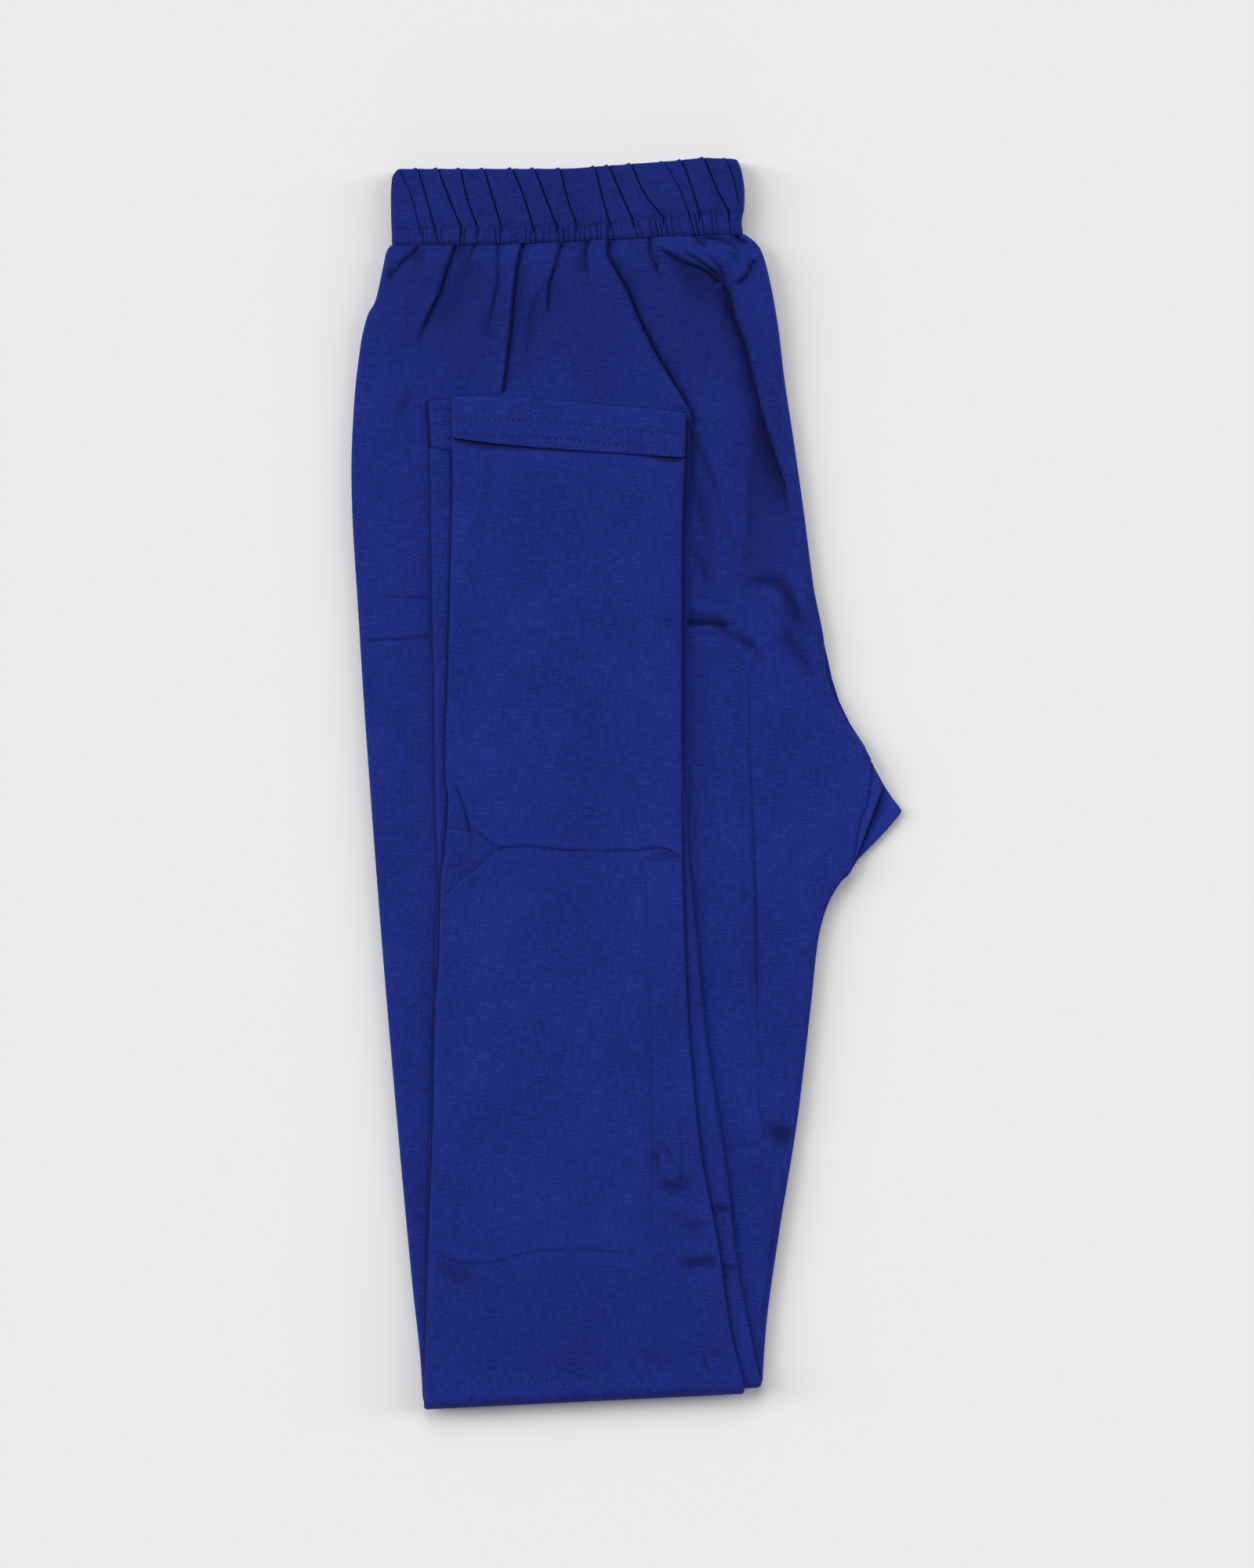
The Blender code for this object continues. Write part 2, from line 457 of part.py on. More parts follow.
def add_piece(name, verts, faces, colour):
    mesh = bpy.data.meshes.new(name)
    mesh.from_pydata(verts, [], faces)
    shape = bmesh.new()
    shape.from_mesh(mesh)
    bmesh.ops.recalc_face_normals(shape, faces=shape.faces)
    shape.to_mesh(mesh)
    shape.free()
    mesh.materials.append(cloth(name, colour))
    piece = bpy.data.objects.new(name, mesh)
    bpy.data.collections[OBJECT_NAME].objects.link(piece)
    return piece


def cloth(name, colour):
    material = bpy.data.materials.new(name)
    material.use_nodes = True
    shader = material.node_tree.nodes["Principled BSDF"]
    shader.inputs["Base Color"].default_value = colour
    shader.inputs["Roughness"].default_value = 0.85
    shader.inputs["Metallic"].default_value = 0.0
    material.diffuse_color = colour
    return material


def bends_of(left, right, y_of, height_of):
    """How sharply the relief bends along each row."""
    spots = np.linspace(0.0, 1.0, BEND_SAMPLES)
    x = left[:, None] + spots * (right - left)[:, None]
    height = height_of(x, y_of(x))
    pitch = (right - left)[:, None] / (BEND_SAMPLES - 1)
    bend = np.abs(np.gradient(np.gradient(height, axis=1), axis=1)) / pitch ** 2
    return np.sqrt(bend)


def upper_rings(rows, spreads, underside, top, relief_of, open_is_top):
    """Rings down an upper leg, from the waist seam to the fold."""
    rings = []
    for left, right, share, spread in zip(*rows, spreads):
        def low(x):
            return smooth(underside, upper_y(x, share))

        def high(x):
            return smooth(top, upper_y(x, share)) + relief_of(x, upper_y(x, share))

        sewn = float(ramp(upper_y(right, share), SEWN_END, SEWN_START))
        open_height, plain_height = (high, low) if open_is_top else (low, high)
        x, z = section(left, right, spread, open_height, plain_height, sewn)
        rings.append(np.stack((x, upper_y(x, share), z), axis=1))
    return rings


def fold_rings(radius, ends, spreads, facing):
    """Rings round the fold. facing is 1 when the open side is inside it and -1 when it is outside."""
    rings = []
    for share in np.linspace(0.0, 1.0, FOLD_STEPS + 1):
        (left, right), spread = [(1 - share) * before + share * after
                                 for before, after in ((ends[0], ends[1]), (spreads[0], spreads[1]))]
        x, height = section(left, right, spread, lambda x: x * 0 + facing * HALF_LEG,
                            lambda x: x * 0 - facing * HALF_LEG)
        reach = radius - height
        y = fold_axis(x) - reach * sin(pi * share)
        rings.append(np.stack((x, y, FOLD_CENTRE_Z - reach * cos(pi * share)), axis=1))
    return rings


def lower_rings(rows, spreads, step, radius, relief_of, facing):
    """Rings up a lower leg, from the fold to the hem."""
    rings = []
    for left, right, share, spread in zip(*rows, spreads):
        def open_height(x):
            return facing * (HALF_LEG + relief_of(x, lower_y(x, share, step)))

        x, height = section(left, right, spread, open_height, lambda x: x * 0 - facing * HALF_LEG)
        rings.append(np.stack((x, lower_y(x, share, step), FOLD_CENTRE_Z + radius - height), axis=1))
    return rings


def flat(x, y):
    return x * 0.0


def edges(rows, index):
    return np.array((rows[0][index], rows[1][index]))


def near_leg():
    upper = upper_rows(NEAR_UPPER_ROWS, NEAR_INSEAM, False)
    share = upper[2][:, None]
    bends = bends_of(upper[0], upper[1], lambda x: upper_y(x, share), near_relief)
    spreads = crowd(bends, NEAR_OPEN_COLUMNS)
    lower = lower_rows(NEAR_LOWER_ROWS, NEAR_LOWER_LEFT, NEAR_LOWER_RIGHT, NEAR_HEM_STEP)
    even = np.tile(np.linspace(0.0, 1.0, NEAR_OPEN_COLUMNS), (len(lower[2]), 1))
    rings = upper_rings(upper, spreads, NEAR_UNDERSIDE, NEAR_TOP, near_relief, True)
    rings += fold_rings(NEAR_FOLD_RADIUS, (edges(upper, -1), edges(lower, 0)), (spreads[-1], even[0]), 1)
    rings += lower_rings(lower, even, NEAR_HEM_STEP, NEAR_FOLD_RADIUS, flat, 1)
    return loft("near_leg", rings, BLUE, ends="zipped")


def far_leg():
    upper = upper_rows(FAR_UPPER_ROWS, FAR_INSEAM, True)
    even = np.tile(np.linspace(0.0, 1.0, FAR_OPEN_COLUMNS), (len(upper[2]), 1))
    lower = lower_rows(FAR_LOWER_ROWS, FAR_LOWER_LEFT, FAR_LOWER_RIGHT, FAR_HEM_STEP)
    share = lower[2][:, None]
    bends = bends_of(lower[0], lower[1], lambda x: lower_y(x, share, FAR_HEM_STEP), far_relief)
    spreads = crowd(bends, FAR_OPEN_COLUMNS)
    rings = upper_rings(upper, even, TABLE_LEVEL, FAR_TOP, flat, False)
    rings += fold_rings(FAR_FOLD_RADIUS, (edges(upper, -1), edges(lower, 0)), (even[-1], spreads[0]), -1)
    rings += lower_rings(lower, spreads, FAR_HEM_STEP, FAR_FOLD_RADIUS, far_relief, -1)
    return loft("far_leg", rings, BLUE, ends="zipped")


def run(x, z, face):
    """A straight stretch of a wall's mid line. Columns: x, z, and the x and z its outer face looks along."""
    x = np.asarray(x, float)
    return np.stack((x, x * 0 + z, x * 0, x * 0 + face), axis=1)


def turn(centre_x, centre_z, radius, start, end, face, count=TURN_POINTS):
    """The mid line's half turn between two runs, without its two ends."""
    angle = np.radians(np.linspace(start, end, count + 2)[1:-1])
    way_x, way_z = np.cos(angle), np.sin(angle)
    x, z = centre_x + radius * way_x, centre_z + radius * way_z
    return np.stack((x, z, face * way_x, face * way_z), axis=1)


def wall_points(path, half, bump, y_of, squash=None):
    """Outer and inner points of a wall about its mid line. bump lifts the outer face of the top run."""
    sides = []
    for way in (1, -1):
        offset = way * half + (bump if way == 1 else 0.0)
        x = path[:, 0] + offset * path[:, 2]
        z = path[:, 1] + offset * path[:, 3]
        if squash is not None:
            centre, amount = squash
            x = np.where(x > centre, centre + (x - centre) * amount, x)
        sides.append(np.stack((x, y_of(x), z), axis=1))
    return sides


def wall_tube(name, rows, colour):
    """A closed wall through rows of outer and inner points."""
    outer = [row[0] for row in rows]
    inner = [row[1] for row in rows]
    return loft(name, outer + inner[::-1], colour, ends="joined")


def casing_path(left, right, top_x):
    """Mid line of the four walls: under wall, centre seam, top wall, side fold, the two middle walls."""
    half = CASING_WALL / 2
    level = [half + CASING_STEP * wall for wall in range(4)]
    loop = CASING_STEP / 2
    left_x = left + loop + half
    right_x = right - (1.5 * CASING_STEP + half) * CENTRE_SQUASH
    plain = np.linspace(left_x, right_x, CASING_PLAIN_COLUMNS)
    middle_z = (level[1] + level[2]) / 2
    path = np.concatenate((
        run(plain, level[0], -1),
        turn(right_x, middle_z, 1.5 * CASING_STEP, -90, 90, 1, CENTRE_TURN_POINTS),
        run(top_x[::-1], level[3], 1), turn(left_x, (level[2] + level[3]) / 2, loop, 90, 270, 1),
        run(plain, level[2], -1), turn(right_x, middle_z, loop, 90, -90, -1),
        run(plain[::-1], level[1], 1), turn(left_x, (level[0] + level[1]) / 2, loop, 90, 270, 1)))
    on_top = np.zeros(len(path), bool)
    first = len(plain) + CENTRE_TURN_POINTS
    on_top[first:first + len(top_x)] = True
    return path, on_top, right_x


def gather_x(row, rise):
    top, middle, stitched, depth = row
    return smooth([(0.0, stitched), (0.5, middle), (1.0, top)], rise)


def gather_height(x, rise):
    """Relief of the casing: narrow slanting grooves, each with a ridge on its left."""
    height = np.zeros(np.shape(x))
    for row in CASING_GATHERS:
        offset = (x - gather_x(row, rise)) / GATHER_WIDTH
        height += row[3] * (GATHER_LIP * np.exp(-((offset + 1.7) / 1.3) ** 2) - np.exp(-offset ** 2))
    return height


def casing_columns(left, right, rise):
    """Columns of the top wall: the shoulders and floor of each groove and the middle of each panel."""
    inside = [left + CASING_STEP / 2 + CASING_WALL / 2]
    outside = right - (1.5 * CASING_STEP + CASING_WALL / 2) * CENTRE_SQUASH
    grooves = [float(gather_x(row, rise)) for row in CASING_GATHERS]
    for groove in grooves:
        shoulder = groove - GATHER_SHOULDER
        inside += [(inside[-1] + shoulder) / 2, shoulder, groove, groove + GATHER_SHOULDER]
    columns = [x for x in inside if x < outside - 0.3]
    return np.array(columns + [outside] * (len(inside) + 1 - len(columns)))


def waistband():
    rows = []
    for rise, thickness in CASING_ROWS:
        edge_y = [(1 - rise) * smooth(CASING_SEAM, x) + rise * smooth(CASING_TOP, x) for x in CASING_ENDS]
        left, right = float(smooth(CASING_LEFT, edge_y[0])), float(smooth(CASING_RIGHT, edge_y[1]))
        path, on_top, centre = casing_path(left, right, casing_columns(left, right, rise))
        bump = np.where(on_top, gather_height(path[:, 0], rise), 0.0) * thickness
        peaks = TOP_EDGE_PEAK * rise * bump

        def height(x):
            return (1 - rise) * smooth(CASING_SEAM, x) + rise * smooth(CASING_TOP, x) + peaks

        rows.append(wall_points(path, CASING_WALL / 2 * thickness, bump, height, (centre, CENTRE_SQUASH)))
    return wall_tube("waistband", rows, BAND_BLUE)


def pucker_columns(left, right):
    """Uneven small puckers between the two rows of stitching, as column places and heights."""
    low = left + (CASING_STEP + CASING_WALL) / 2
    high = right - (1.5 * CASING_STEP + CASING_WALL / 2) * CENTRE_SQUASH
    pitch = (high - low) / (CASING_PUCKERS + 1)
    places, heights = [low], [0.0]
    for pucker in range(CASING_PUCKERS):
        groove = low + pitch * (pucker + 1 + 0.2 * sin(2.4 * pucker))
        places += [groove - 0.45 * pitch, groove]
        heights += [0.25 + 0.1 * sin(1.7 * pucker), -PUCKER_DEPTH * (1 + 0.35 * sin(3.1 * pucker))]
    return np.array(places + [high]), np.array(heights + [0.0])


def seam_band():
    """The strip between the casing's upper stitching and the seam that joins it to the legs."""
    rows = []
    for rise, thickness, depth in BAND_ROWS:
        edge_y = [(1 - rise) * smooth(WAIST_SEAM, x) + rise * smooth(CASING_SEAM, x) for x in CASING_ENDS]
        left, right = float(smooth(CASING_LEFT, edge_y[0])), float(smooth(CASING_RIGHT, edge_y[1]))
        places, heights = pucker_columns(left, right)
        path, on_top, centre = casing_path(left, right, places)
        bump = np.zeros(len(path))
        bump[on_top] = heights[::-1] * depth

        def height(x):
            return (1 - rise) * smooth(WAIST_SEAM, x) + rise * (smooth(CASING_SEAM, x) - SEAM_GAP)

        rows.append(wall_points(path, CASING_WALL / 2 * thickness, bump, height, (centre, CENTRE_SQUASH)))
    return wall_tube("waist_seam_band", rows, BAND_BLUE)


def hem(name, base, wall, lines, left_edge, right_edge, stitches):
    """A turned hem: the flattened tube at the end of a leg, open at its top edge.

    lines are the rows, as tables of x, y with a distance up and the wall's share of its thickness.
    """
    half = wall / 2
    loop = (wall + HEM_HOLLOW) / 2
    rows = []
    for table, up, thickness in lines:
        def height(x):
            return smooth(table, x) + up

        left = float(smooth(left_edge, height(-80.0)))
        right = float(smooth(right_edge, height(25.0)))
        low, high = left + loop + half, right - loop - half
        top_x = np.linspace(low, high, HEM_COLUMNS)
        path = np.concatenate((
            run(top_x, base + half, -1), turn(high, base + half + loop, loop, -90, 90, 1),
            run(top_x[::-1], base + half + 2 * loop, 1), turn(low, base + half + loop, loop, 90, 270, 1)))
        bump = np.zeros(len(path))
        on_top = slice(HEM_COLUMNS + TURN_POINTS, 2 * HEM_COLUMNS + TURN_POINTS)
        x = path[on_top, 0]
        for stitch in stitches:
            bump[on_top] -= STITCH_DENT * np.exp(-((height(x) - smooth(stitch, x)) / 0.9) ** 2)
        rows.append(wall_points(path, half * thickness, bump, height))
    return wall_tube(name, rows, BLUE)


def far_leg_hem():
    lines = [(FAR_HEM_STEP, 0.0, 0.7), (FAR_LOWER_STITCHES, 0.2, 1.0), (FAR_LOWER_STITCHES, 3.7, 1.0),
             (FAR_UPPER_STITCHES, 0.0, 1.0), (FAR_UPPER_STITCHES, 2.2, 1.0), (FAR_HEM_TOP, -1.0, 1.0),
             (FAR_HEM_TOP, 0.0, 0.6)]
    stitches = (FAR_LOWER_STITCHES, FAR_UPPER_STITCHES)
    return hem("far_leg_hem", FOLD_CENTRE_Z + FAR_FOLD_RADIUS - HALF_LEG, FAR_HEM_WALL, lines,
               FAR_LOWER_LEFT, FAR_LOWER_RIGHT, stitches)


def near_leg_hem():
    lines = [(NEAR_HEM_STEP, 0.0, 0.7), (NEAR_HEM_STEP, 1.2, 1.0), (NEAR_HEM_TOP, -10.4, 1.0),
             (NEAR_HEM_TOP, -1.0, 1.0), (NEAR_HEM_TOP, 0.0, 0.6)]
    return hem("near_leg_hem", FOLD_CENTRE_Z + NEAR_FOLD_RADIUS - HALF_LEG, NEAR_HEM_WALL, lines,
               NEAR_LOWER_LEFT, NEAR_LOWER_RIGHT, ())


def crotch_gusset():
    """The diamond at the crotch, folded over: its near half ends in a step above the far half."""
    rings = []
    for y, crease, outer in GUSSET_ROWS:
        seam = float(upper_right(y, NEAR_INSEAM, False)) + SEAM_GAP
        nose = min(0.9, 0.4 * (outer - seam))
        lip = min(0.9, 0.4 * (crease - seam))
        ring = [
            (seam, 0.0), (outer - nose, 0.0), (outer - 0.3 * nose, 0.2 * GUSSET_LOW),
            (outer, 0.5 * GUSSET_LOW),
            (outer - 0.3 * nose, 0.85 * GUSSET_LOW), (outer - nose, GUSSET_LOW),
            (crease + 0.15, GUSSET_LOW), (crease, GUSSET_LOW + 0.5),
            (crease - 0.15 * lip, GUSSET_HIGH - 0.9),
            (crease - 0.4 * lip, GUSSET_HIGH - 0.3), (crease - lip, GUSSET_HIGH), (seam, GUSSET_HIGH)]
        rings.append([(x, y, z) for x, z in ring])
    return loft("crotch_gusset", rings, BLUE)


def main():
    for item in list(bpy.data.objects):
        bpy.data.objects.remove(item)
    collection = bpy.data.collections.new(OBJECT_NAME)
    bpy.context.scene.collection.children.link(collection)
    near_leg()
    far_leg()
    near_leg_hem()
    far_leg_hem()
    crotch_gusset()
    seam_band()
    waistband()


main()
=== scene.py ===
# Plain jersey leggings, folded flat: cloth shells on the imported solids, with gathers, seams and stitching.
from math import cos, pi, radians, sin

import bpy
import numpy as np
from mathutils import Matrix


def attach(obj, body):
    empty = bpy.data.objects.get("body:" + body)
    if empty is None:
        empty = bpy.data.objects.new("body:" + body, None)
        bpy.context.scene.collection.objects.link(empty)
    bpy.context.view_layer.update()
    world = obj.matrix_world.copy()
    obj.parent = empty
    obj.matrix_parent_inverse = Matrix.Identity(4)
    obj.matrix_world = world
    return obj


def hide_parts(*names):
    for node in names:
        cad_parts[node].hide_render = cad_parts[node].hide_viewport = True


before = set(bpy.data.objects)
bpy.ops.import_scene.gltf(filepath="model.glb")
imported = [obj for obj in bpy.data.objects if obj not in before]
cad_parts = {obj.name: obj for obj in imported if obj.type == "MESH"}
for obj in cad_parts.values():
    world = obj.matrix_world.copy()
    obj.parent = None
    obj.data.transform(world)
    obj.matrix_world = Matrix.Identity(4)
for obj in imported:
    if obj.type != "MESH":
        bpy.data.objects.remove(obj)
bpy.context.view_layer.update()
mm = 0.001  # everything below is in millimetres: x to the centre seam, y up to the waist, z off the table

# How the layers lie on each other and turn at the fold
layers = {
    "legThick": 2.7, "seamGap": 0.3, "clothWall": 0.6,
    "foldCentreZ": 5.85, "farRadius": 4.5, "nearRadius": 1.5,
    "foldOuterY": -279, "foldLeftX": -90.8, "foldSlope": 0.049, "foldRows": 16,
}
halfLeg = layers["legThick"] / 2

# Outlines that several pieces share, as y, x
sideFold = [
    (245, -105), (240, -105.2), (237.5, -106.8), (229, -108.7), (214.5, -112.2), (209.5, -115.2),
    (196, -118.5), (168, -121.6), (140, -122.7), (70, -119.2), (-49, -110.8), (-157, -101.7),
    (-224, -95.4), (-259, -91.7), (-280, -90.5)]
rise = [
    (246, 51.6), (244.6, 52.3), (243.3, 54.1), (241.5, 56.5), (237.7, 59.3), (229, 62.1), (203, 67),
    (182, 69.5), (154, 73.7), (122.5, 78.2), (87.5, 82.8), (61, 87.6), (51, 88), (44.5, 89.6),
    (25, 99.2), (21, 102.5), (18.5, 104.3), (14, 106.8), (10, 108.7), (7.4, 109.2)]
nearInseam = [
    (7.4, 109.2), (-7, 107.2), (-17.5, 103.6), (-38.5, 99.6), (-43.5, 94.7), (-56, 88), (-70, 84.5),
    (-98, 81.4), (-149, 75.4), (-203, 66.7), (-245, 61.1), (-280, 59)]
farInseam = [
    (7.4, 109.2), (-7, 107.2), (-17.5, 103.6), (-38.5, 99.4), (-43.5, 94.3), (-56, 87), (-98, 79),
    (-150, 70), (-200, 61.5), (-245, 54.5), (-280, 51.6)]
farRisePeek = [(64, 0), (56, 1.7), (47, 2.7), (36, 2), (15, 0.8), (7.4, 0)]
farLowerLeft = [
    (-280, -90.8), (-206, -88.7), (-158, -87), (-98, -85.6), (-80, -84.2), (-44, -83.2),
    (-31.5, -81.7), (-8, -80), (4, -81.2), (14, -81.4), (42, -80.3), (98, -78.9), (135, -78.2),
    (173, -78.9)]
farLowerRight = [
    (-280, 53), (-266, 51.6), (-247, 46.7), (-203, 40.1), (-168, 33.4), (-149, 31),
    (-98, 26.8), (-38, 24.7), (5, 24.3), (105, 24.3), (140, 25.4), (173, 26.5)]
nearLowerLeft = [
    (-280, -90.3), (-227, -89.4), (-158, -88), (-105, -86.3), (-35, -84.5), (-9, -85.4),
    (35, -85.9), (88, -87), (145, -87.7), (172, -89.4)]
nearLowerRight = [
    (-280, 59.6), (-268, 58.9), (-250, 55.1), (-214, 48.5), (-176, 44.3), (-144, 39.4),
    (-102, 33.4), (-66, 30.3), (-36, 27.1), (0, 25), (35, 22.9), (172, 22.2)]

# Lines across the cloth, as x, y
waistSeam = [
    (-108, 240), (-63, 240.4), (-29, 241.5), (0, 243), (24.5, 244.3), (52, 244.8), (115, 244.8)]
casingSeam = [
    (-108, 247.2), (-49, 247.5), (-22.5, 248.6), (4.5, 250.8), (24, 253), (44.5, 254.6), (56, 255)]
casingTop = [
    (-108, 273.9), (-29.5, 274), (-14.5, 274.9), (1.5, 276.1), (23.5, 277.8), (34, 278.8), (49, 278.3),
    (56, 278)]
farHemTop = [(-82, 172.5), (-57, 172.2), (-35.5, 170.8), (-3, 168), (14, 166.6), (30, 164)]
farHemStep = [(-82, 154.6), (-60, 151.7), (-35.5, 149.4), (-8, 147.5), (30, 144.9)]
nearHemTop = [(-92, 170.2), (-81, 171.1), (24, 163.5)]
nearHemStep = [(-92, 150.6), (-80, 148.9), (24, 144)]


# Curves

def softLine(pairs, at):
    # a smooth line through the pairs that never overshoots them
    spot, value = np.array(sorted(pairs), float).T
    step = np.diff(spot)
    slope = np.diff(value) / step
    tangent = np.zeros(len(spot))
    tangent[0], tangent[-1] = slope[0], slope[-1]
    before, after = slope[:-1], slope[1:]
    same = before * after > 0
    tangent[1:-1][same] = 2 * before[same] * after[same] / (before[same] + after[same])
    at = np.clip(np.asarray(at, float), spot[0], spot[-1])
    index = np.clip(np.searchsorted(spot, at) - 1, 0, len(spot) - 2)
    t = (at - spot[index]) / step[index]
    start = value[index] * (1 + 2 * t) + tangent[index] * step[index] * t
    end = value[index + 1] * (3 - 2 * t) + tangent[index + 1] * step[index] * (t - 1)
    return start * (1 - t) ** 2 + end * t ** 2


def betweenLines(low, high, up, x):
    return (1 - up) * softLine(low, x) + up * softLine(high, x)


def ease(value, low, high):
    t = np.clip((value - low) / (high - low), 0.0, 1.0)
    return t * t * (3 - 2 * t)


def bump(offset, width):
    return np.exp(-(offset / width) ** 2)


def even(count):
    return np.linspace(0.0, 1.0, count)


def patches(rows, x, y):
    # soft round patches, as x, y, half width across and along, strength
    return sum(strength * bump(x - spotX, across) * bump(y - spotY, along)
               for spotX, spotY, across, along, strength in rows)


def nearPath(path, reach, x, y):
    # which spots lie near the path, how far to its left, how far along it, and its length
    points = np.array(path, float)
    run = np.concatenate(([0.0], np.cumsum(np.hypot(*np.diff(points, axis=0).T))))
    at = np.linspace(0.0, run[-1], max(2, int(run[-1] / 2.5) + 1))
    trailX, trailY = softLine(zip(run, points[:, 0]), at), softLine(zip(run, points[:, 1]), at)
    close = ((x > trailX.min() - reach) & (x < trailX.max() + reach)
             & (y > trailY.min() - reach) & (y < trailY.max() + reach))
    stepX, stepY, length = np.diff(trailX), np.diff(trailY), np.diff(at)
    offX, offY = x[close][:, None] - trailX[:-1], y[close][:, None] - trailY[:-1]
    t = np.clip((offX * stepX + offY * stepY) / np.maximum(stepX ** 2 + stepY ** 2, 1e-9), 0.0, 1.0)
    distance = np.hypot(offX - t * stepX, offY - t * stepY)
    pick = np.arange(len(distance)), np.argmin(distance, axis=1)
    left = np.sign((stepX * offY - stepY * offX)[pick])
    return close, distance[pick] * left, (at[:-1] + t * length)[pick], at[-1]


# how far a crease's two sides reach, in its half widths, and how much shade is painted on its line, its trough
# and its seam end, and light on its ridge
creaseShape = {
    "ridgeReach": 1.7, "troughReach": 1.3, "line": 0.65, "trough": 0.2, "ridge": -0.12, "seamEnd": 0.35,
}


def addCrease(crease, x, y, height, dark):
    # a step in the cloth: a ridge on the left of the path where side is 1, and a trough on its other side
    path, width, depth, lift, side, fadeIn, fadeOut, edge, gloom = crease
    close, offset, along, length = nearPath(path, 5.0 * width, x, y)
    offset = offset * side
    fade = ease(along, -0.01, fadeIn) * ease(length - along, -0.01, fadeOut)
    raised = 0.5 + 0.5 * np.tanh(offset / edge)
    ridge = lift * np.exp(-np.maximum(offset, 0.0) / (creaseShape["ridgeReach"] * width)) * raised
    trough = depth * np.exp(-np.maximum(-offset, 0.0) / (creaseShape["troughReach"] * width)) * (1 - raised)
    height[close] += (ridge - trough) * fade
    # painted shade along the crease's line and in its trough, painted light on its ridge
    line = creaseShape["line"] * min(depth, 1.0) * bump(offset + 0.4 * edge, 0.4 + 0.4 * edge)
    dark[close] += fade * gloom * (line + creaseShape["trough"] * trough + creaseShape["ridge"] * ridge)
    # more painted shade where a gather leaves the seam
    if fadeIn == 1:  # a gather is darkest where it leaves the seam
        dark[close] += creaseShape["seamEnd"] * gloom * bump(along, 2.2) * bump(offset + 0.4, 1.3)


def addHollow(hollow, x, y, height, dark):
    # a soft trough along the path, or only on the right of it where side is 1 and on the left where it is -1
    path, startWidth, endWidth, depth, gloom, fadeIn, fadeOut, *side = hollow
    close, offset, along, length = nearPath(path, 2.6 * max(startWidth, endWidth), x, y)
    width = startWidth + (endWidth - startWidth) * along / length
    if side:
        offset = offset * side[0]
        shape = bump(np.maximum(-offset, 0.0), width) * (0.5 - 0.5 * np.tanh(offset / 0.5))
    else:
        shape = bump(offset, width)
    shape = shape * ease(along, -0.01, fadeIn) * ease(length - along, -0.01, fadeOut)
    height[close] -= depth * shape
    # the gloom paints shade along the hollow, or light where it is below 0
    dark[close] += gloom * shape


def reliefOf(piece, x, y):
    x, y = np.broadcast_arrays(np.asarray(x, float), np.asarray(y, float))
    height, dark = np.zeros(x.shape), np.zeros(x.shape)
    for crease in piece["creases"]:
        addCrease(crease, x, y, height, dark)
    for hollow in piece["hollows"]:
        addHollow(hollow, x, y, height, dark)
    # the slack of cloth laid by hand
    slack = np.sin(x / 9.0 + 1.3 * np.sin(y / 37.0)) * np.sin(y / 23.0 + np.sin(x / 19.0))
    slack += 0.6 * np.sin(x / 4.7 + y / 31.0 + 2.0 * np.sin(y / 53.0))
    height += patches(piece["swells"], x, y) + 0.07 * slack
    # the shades table paints shade on the cloth, and light where it is below 0
    return height, np.clip(dark + patches(piece["shades"], x, y), -1.0, 1.0)


def foldAxis(x):
    outer = layers["foldOuterY"] + layers["foldSlope"] * (np.asarray(x, float) - layers["foldLeftX"])
    return outer + layers["farRadius"] + halfLeg


# Cloth from a grid that is rolled up into a tube

def named(piece, name, material):
    piece.name = piece.data.name = name
    piece.data.materials.clear()
    piece.data.materials.append(material)
    return piece


def gridPiece(name, rings, material, shade, wall=0.0, closed=False):
    rows, columns = rings.shape[:2]
    rowFaces = rows if closed else rows - 1
    bpy.ops.object.select_all(action="DESELECT")
    bpy.ops.mesh.primitive_grid_add(x_subdivisions=columns, y_subdivisions=rowFaces, size=1.0)
    piece = bpy.context.object
    mesh = piece.data
    flat = np.empty(len(mesh.vertices) * 3)
    mesh.vertices.foreach_get("co", flat)
    column, row = np.rint((flat.reshape(-1, 3)[:, :2] + 0.5) * (columns, rowFaces)).astype(int).T
    vertex = row % rows, column % columns
    mesh.vertices.foreach_set("co", (rings[vertex] * mm).ravel())
    # the cloth's own map, in metres round and along it, so that the knit turns with the cloth
    around = np.linalg.norm(np.diff(np.concatenate((rings, rings[:, :1]), axis=1), axis=1), axis=2)
    around = np.concatenate((np.zeros((rows, 1)), np.cumsum(around, axis=1)), axis=1)
    along = np.linalg.norm(np.diff(rings, axis=0), axis=2).mean(axis=1)
    along = np.concatenate(([0.0], np.cumsum(along)))
    along = np.append(along, along[-1] + 2.0)
    spots = np.stack((around[vertex[0], column], along[row]), axis=1) * mm
    corner = np.empty(len(mesh.loops), int)
    mesh.loops.foreach_get("vertex_index", corner)
    mesh.uv_layers.active.name = "clothMap"
    mesh.uv_layers.active.data.foreach_set("uv", spots[corner].ravel())
    # the hollow attribute carries the shade painted into the colour: painted shade above 0, painted light below
    # 0
    hollow = mesh.attributes.new("hollow", "FLOAT", "POINT")
    hollow.data.foreach_set("value", shade[vertex].ravel())
    bpy.ops.object.mode_set(mode="EDIT")
    bpy.ops.mesh.select_all(action="SELECT")
    bpy.ops.mesh.remove_doubles(threshold=1e-7)
    bpy.ops.object.mode_set(mode="OBJECT")
    mesh.update()
    if wall:
        solid = piece.modifiers.new("wall", "SOLIDIFY")
        solid.thickness = wall * mm
        solid.offset = -1.0
        solid.use_even_offset = False
        bpy.ops.object.modifier_apply(modifier=solid.name)
    bpy.ops.object.shade_smooth_by_angle(angle=radians(60))
    return named(piece, name, material)


def bendOf(height, axis, pitch):
    return np.sqrt(np.abs(np.gradient(np.gradient(height, axis=axis), axis=axis)) / pitch ** 2)


def softWindow(reach):
    window = np.hanning(2 * reach + 3)[1:-1]
    return window / window.sum()


